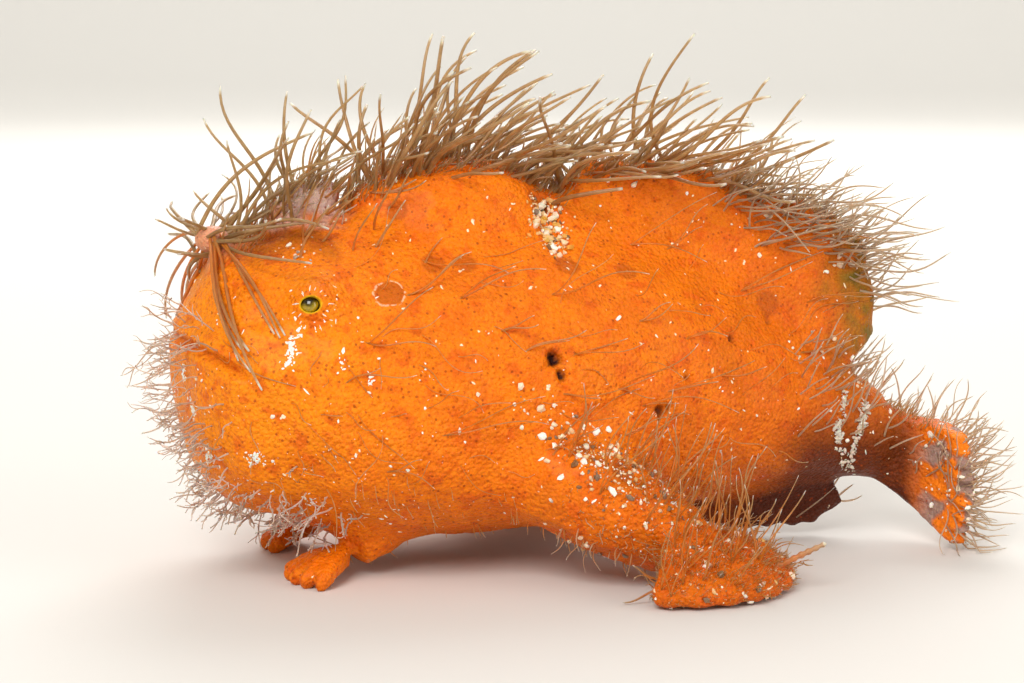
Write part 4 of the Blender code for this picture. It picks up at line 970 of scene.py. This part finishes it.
# The arms and hands, with tufts above, bristles below and a nap like velvet. One beaded ray stands clear of
# each hand.
arms = fade(abs(y), 10.8, 12.2) * fade(-z, -11.5, -9) * fade(x, -1, 2)
coat(
    "arm_filaments", 180, arms * fade(nz, 0.0, 0.4) * fade(-x, -14, -12), (2.5, 7.0),
    swept(0.25, 0.05, 1.0), rise=0.32, bend=0.12, curl=0.2, stray=0.42, radius=0.065, apart=0.8,
    orange=0.95, tuft=2, knots=14,
)
hands = on_hand * (nz > -0.2) * fade(z, 0.4, 0.9)
from_wrist = lambda p: joined(p[:, 0] - WRIST[0], p[:, 1] - np.sign(p[:, 1]) * WRIST[1], 2.5)
coat(
    "hand_filaments", 130, hands, (0.8, 3.2), from_wrist, rise=0.5, bend=0.1, curl=0.26, stray=0.6,
    radius=0.045, apart=0.5, orange=0.85, twigs=1, knots=11,
)
finger_ends = sum(bell((off_place(15.7, 16.8 * m, 2.2), 0.9)) for m in (-1, 1))
coat(
    "finger_rays", 2, finger_ends * hands, (3.4, 3.8),
    lambda p: joined(1.0, 0.3 * np.sign(p[:, 1]), 0.42), rise=0.1, bend=0.2, curl=0.05, stray=0.2,
    radius=0.19, apart=3.0, orange=0.9, pale=0.2, knots=26, sides=7, taper=(1.6, 1.2, 0.9, 0.5),
    beads=0.4,
)
heels = sum(bell((off_place(5.6, 18.0 * m, 1.7), 0.9)) for m in (-1, 1))
coat(
    "heel_filaments", 12, heels, (2.4, 4.8), swept(-1.0, 0.3, 0.0), rise=0.25, bend=0.05, curl=0.3,
    radius=0.085, apart=0.3, orange=0.8, pale=0.1, knots=15,
)
under_arms = arms * fade(-nz, 0.1, 0.5) * fade(z, 2.2, 3.0)
coat(
    "arm_bristles", 50, under_arms, (0.7, 1.8), swept(-0.5, 0.2, -0.8), rise=0.6, bend=0.1, curl=0.34,
    radius=0.05, apart=0.6, orange=0.6, pale=0.4,
)
coat(
    "velvet", 2600, on_hand * (nz > -0.3) + 0.8 * arms * (nz > -0.6), (0.2, 0.7), swept(0.4, 0.4, 0.4),
    rise=0.8, stray=0.5, radius=0.035, apart=0.16, orange=0.85, knots=4, sides=4,
)
# The tail fin's rim and the tail stalk.
on_rim = fade(x, 29.5, 31.0) * np.maximum(fade(-y, 6.5, 9.0), 0.25) * (z > 0.5) * (0.04 + fade(nx, -0.1, 0.4))
past_tail = lambda p: joined(0.9, -0.2, 0.25 * (p[:, 2] - 3.5))
coat(
    "tail_filaments", 230, on_rim, (1.5, 4.6), past_tail, rise=0.35, bend=0.1, curl=0.3, stray=0.4,
    radius=0.065, apart=0.4, orange=0.15, pale=0.5, knots=13,
)
on_stalk = fade(x, 19, 23) * fade(-x, -30, -28) * fade(-z, -17, -14) * (nz > -0.2)
coat(
    "stalk_filaments", 130, on_stalk, (1.5, 4.6), swept(0.6, 0.2, 0.9), rise=0.45, bend=0.1, curl=0.16,
    stray=0.5, radius=0.08, apart=0.5, orange=0.1, pale=0.5, knots=11,
)
# A fine fuzz along the whole back.
outline = on_edge * fade(x, -22, -16) * fade(-x, -32, -30)
coat(
    "fine_fuzz", 1500, outline, (0.5, 1.5), swept(0.7, 0.2, 0.7), rise=0.6, stray=0.5, radius=0.045,
    apart=0.2, orange=0.5, knots=6, sides=4,
)


# Sand and pale flecks
# Coral sand and shell crumbs stick to the mucus, mostly in the groove behind the hump, on the shoulder
# and behind the fin, where they cling in strings. The smallest lie all over as white flecks. Each is a
# pale, wet, chipped grain.

wet_sand, tree, shader = finish_named(
    "wet_coral_sand", Roughness=0.42, IOR=1.5, Subsurface_Weight=0.3, Subsurface_Scale=0.0003,
    Coat_Weight=0.25,
)
share = {name: node(tree, "Attribute", attribute_name=name).outputs["Fac"] for name in ("shade", "warm")}
base = layered(tree, colour("FFF8EC"), [(share["warm"], "DC9A18"), (share["shade"], "6E4416")])
tree.links.new(base, shader.inputs["Base Color"])

ball = bmesh.new()
bmesh.ops.create_icosphere(ball, subdivisions=1, radius=1.0)
GRAIN = np.array([v.co for v in ball.verts])
GRAIN_FACES = np.array([[v.index for v in face.verts] for face in ball.faces])
ball.free()


def strewn(name, places, normals, sizes, stretch, flat, warm, shade, headings=None):
    """Chipped grains that lie on the skin, each turned its own way or along its heading."""
    count = len(places)
    headings = draw.normal(size=(count, 3)) if headings is None else headings
    turn = unit(headings - normals * (headings * normals).sum(1)[:, None])
    other = np.cross(normals, turn)
    chips = GRAIN[None] * (1 + draw.normal(size=(count, len(GRAIN), 1)) * 0.2)
    chips = chips * np.stack([sizes * stretch, sizes / np.sqrt(stretch), sizes * flat], axis=1)[:, None]
    points = places[:, None] + (normals * (sizes * flat * 0.25)[:, None])[:, None]
    points = (
        points + chips[..., :1] * turn[:, None] + chips[..., 1:2] * other[:, None]
        + chips[..., 2:] * normals[:, None]
    )
    faces = (np.arange(count)[:, None, None] * len(GRAIN) + GRAIN_FACES).reshape(-1, 3)
    points[..., 2] = np.maximum(points[..., 2], 0.0)
    thing = made(name, points.reshape(-1, 3), faces.tolist())
    held(thing.data, "warm", np.repeat(np.broadcast_to(warm, count), len(GRAIN)))
    held(thing.data, "shade", np.repeat(np.broadcast_to(shade, count), len(GRAIN)))
    placed(thing.data)
    thing.data.materials.append(wet_sand)
    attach(thing, "root")


def any_share():
    """A random share, from 0 to 1, for each of the places at hand."""
    return draw.random(len(places))


def on_skin(density, count, apart):
    chosen = rooted(density + 1e-12, count, apart)
    return skin_points[chosen], skin_normals[chosen]


def settled(places):
    """The nearest places on the skin, with its normals there."""
    found = [skin_tree.find_nearest(place) for place in places.tolist()]
    return np.array([tuple(near[0]) for near in found]), np.array([tuple(near[1]) for near in found])


body_side = fade(-nz, -0.75, -0.3) * fade(z, 3, 5) * (1 - on_second) * fade(ball_far, 1.2, 1.6)
front = body_side * (0.25 + 1.1 * fade(-x, 2, 14) * fade(-z, -22, -18) + 0.5 * bell((z - 9, 5)))
places, facing = on_skin(front, 760, 0.3)
size = 0.028 + 0.1 * any_share() ** 3.5
strewn("white_flecks", places, facing, size, 1 + 2.2 * any_share() ** 2, 0.4, 0.12 * any_share(), 0)
places, facing = on_skin(body_side * (0.35 + fade(x, -5, 5)), 150, 0.8)
size = 0.06 + 0.13 * any_share() ** 2.5
warm, dark = 0.5 * any_share() ** 2, 0.5 * (any_share() > 0.85)
strewn("pale_crumbs", places, facing, size, 1 + 0.7 * any_share(), 0.6, warm, dark)

# Larger white patches are where many flecks crowd: below the eye, on the chin and at the snout.
PATCHES = (
    ((-18.3, -9.7, 17.4), (0.2, 0.55), 44), ((-17.7, -9.3, 18.5), (0.14, 0.3), 12),
    ((-18.7, -9.9, 16.4), (0.2, 0.2), 12), ((-20.9, -9.2, 9.85), (0.42, 0.26), 44),
    ((-25.2, -4.6, 12.5), (0.26, 0.3), 34), ((-25.0, -3.2, 15.2), (0.2, 0.36), 28),
    ((-24.2, -5.9, 9.2), (0.5, 0.4), 38), ((-17.0, -8.7, 6.4), (0.3, 0.24), 16),
    ((-24.7, -4.2, 13.3), (0.1, 0.2), 8), ((-15.1, -10.7, 16.8), (0.12, 0.3), 8),
    ((-13.1, -11.5, 15.3), (0.2, 0.3), 10), ((-21.8, 8.8, 10.6), (0.4, 0.26), 30),
    ((-18.6, 9.8, 16.2), (0.2, 0.5), 26), ((-9.0, 11.9, 13.0), (0.3, 0.3), 16),
)
spread = [
    np.array(place) + draw.normal(size=(count, 3)) * (wide, wide, tall)
    for place, (wide, tall), count in PATCHES
]
places, facing = settled(np.concatenate(spread))
size = 0.05 + 0.1 * any_share() ** 2
strewn("white_patches", places, facing, size, 1 + 0.8 * any_share(), 0.4, 0.05, 0)

# Fine white dashes ring each eye like rays.
dashes, rays = [], []
for side, ball in eye_balls.items():
    axis, along, upward = eye_axes[side]
    around = np.linspace(-2.7, 2.9, 17) + draw.normal(size=17) * 0.12
    outward = np.cos(around)[:, None] * along + np.sin(around)[:, None] * upward
    dashes.append(ball + axis * 0.8 + outward * draw.uniform(1.15, 1.9, 17)[:, None])
    rays.append(outward)
places, facing = settled(np.concatenate(dashes))
size = 0.05 + 0.04 * any_share()
strewn("eye_dashes", places, facing, size, 2.4 + 2.0 * any_share(), 0.4, 0.1, 0, np.concatenate(rays))

in_groove = groove * (0.25 + 0.75 * (y < 0)) * fade(z, 22.6, 23.6) * fade(-z, -27.6, -26.8)
places, facing = on_skin(in_groove, 230, 0.17)
size = 0.08 + 0.27 * any_share() ** 3
warm, dark = any_share() ** 0.5, 0.9 * (any_share() > 0.82)
strewn("groove_sand", places, facing, size, 1 + 0.5 * any_share(), 1.0, warm, dark)
on_shoulder = bell((x - 3.0, 3.6), (z - 11.2 + 0.68 * x, 1.5)) * (y < -9)
places, facing = on_skin(on_shoulder + 0.03 * arms + 0.02 * hands, 620, 0.17)
size = 0.06 + 0.24 * any_share() ** 3.5
warm, dark = 0.9 * any_share(), 0.9 * (any_share() > 0.8)
strewn("shoulder_sand", places, facing, size, 1 + 0.5 * any_share(), 0.7, warm, dark)

# Strings of mucus and sand hang behind the body, where the stalk begins. They clump here and there.
STRINGS = (
    ((25.0, -5.0, 11.8), (23.9, -5.6, 9.4), (24.1, -5.4, 8.2), (25.4, -4.2, 5.8)),
    ((26.6, -5.0, 11.0), (26.0, -5.3, 9.5), (25.4, -4.6, 7.7), (25.7, -3.9, 5.8)),
)
spread = []
for string in STRINGS:
    share = np.sort(
        np.clip(draw.choice((0.08, 0.3, 0.36, 0.6, 0.84), 140) + draw.normal(size=140) * 0.09, 0, 1)
    )
    knots = np.linspace(0, 1, len(string))
    spread.append(np.stack([np.interp(share, knots, axis) for axis in np.array(string).T], axis=1))
spread = np.concatenate(spread)
places, facing = settled(spread + draw.normal(size=spread.shape) * 0.17)
size = 0.04 + 0.15 * any_share() ** 2
lifted = places + facing * (size * 0.4)[:, None]
strewn("mucus_strings", lifted, facing, size, 1 + 1.2 * any_share(), 0.8, 0.35 * any_share(), 0.3)
elsewhere = 0.4 * on_tail * (y < -6) + 0.6 * bell((x - 9.0, 2.6), (off_top + 0.8, 0.8))
elsewhere += 0.3 * at_rear + 0.2 * on_stalk
elsewhere += 0.9 * bell((x + 16.2, 1.8), (z - 23.5, 0.6)) * (y < 0)
elsewhere += 0.9 * bell((x + 9.8, 1.0), (off_top + 0.4, 0.5))
places, facing = on_skin(elsewhere, 230, 0.24)
size = 0.07 + 0.22 * any_share() ** 2.5
warm, dark = 0.6 * any_share(), 0.7 * (any_share() > 0.8)
strewn("stray_sand", places, facing, size, 1 + 0.5 * any_share(), 0.75, warm, dark)


# Floor, light and camera
# A plain pale studio floor under broad soft lamps, with the fish seen from its left and slightly in front.

floor_finish, tree, shader = finish_named("pale_studio_paper", Roughness=0.85, Base_Color=colour("DAD7D1"))
curve = np.linspace(0, math.pi / 2, 24)
radius = np.concatenate([[0.3, 0.5, 0.7], 0.7 + 0.8 * np.sin(curve[1:]), [1.5]])
height = np.concatenate([[0, 0, 0], 0.8 * (1 - np.cos(curve[1:])), [1.6]])
turn = np.linspace(0, 2 * math.pi, 96, endpoint=False)[:, None]
sweep = joined(radius * np.cos(turn), radius * np.sin(turn), height)
rows = len(radius)
sweep_faces = [tuple(i * rows for i in range(96))]
for i in range(96):
    here, there = i * rows, (i + 1) % 96 * rows
    sweep_faces += [(here + k, here + k + 1, there + k + 1, there + k) for k in range(rows - 1)]
floor = made("floor", sweep.reshape(-1, 3), sweep_faces)
floor.data.shade_smooth()
floor.data.materials.append(floor_finish)

world = bpy.data.worlds.new("pale_room")
world.use_nodes = True
sky = world.node_tree.nodes["Background"].inputs
sky["Color"].default_value, sky["Strength"].default_value = colour("E8E6E2"), 0.62
bpy.context.scene.world = world
bpy.context.scene.view_settings.view_transform = "Standard"

VIEW_TARGET = Vector((SHIFT + (0, 0, 16.0)) * MM)
for name, spot, target, size, power in (
    ("key_lamp", (-0.30, -0.42, 0.46), VIEW_TARGET, 0.35, 3.7),
    ("fill_lamp", (0.42, -0.40, 0.22), VIEW_TARGET, 0.40, 1.3),
    ("back_lamp", (0.15, 0.45, 0.40), VIEW_TARGET, 0.35, 2.0),
    ("backdrop_lamp", (0.2, 0.62, 0.95), Vector((0.36, 1.35, 0.1)), 0.8, 6.5),
):
    lamp = bpy.data.objects.new(name, bpy.data.lights.new(name, "AREA"))
    lamp.data.size, lamp.data.energy = size, power
    lamp.location = spot
    lamp.rotation_euler = (target - Vector(spot)).to_track_quat("-Z", "Y").to_euler()
    bpy.context.scene.collection.objects.link(lamp)

azimuth, elevation, distance = math.radians(-15), math.radians(8), 0.181
away = Vector(
    (math.sin(azimuth) * math.cos(elevation), -math.cos(azimuth) * math.cos(elevation), math.sin(elevation))
)
camera = bpy.data.objects.new("camera", bpy.data.cameras.new("camera"))
camera.data.lens, camera.data.sensor_width = 85.0, 36.0
camera.data.clip_start, camera.data.clip_end = 0.005, 20.0
camera.location = VIEW_TARGET + away * distance
camera.rotation_euler = away.to_track_quat("Z", "Y").to_euler()
bpy.context.scene.collection.objects.link(camera)
bpy.context.scene.camera = camera
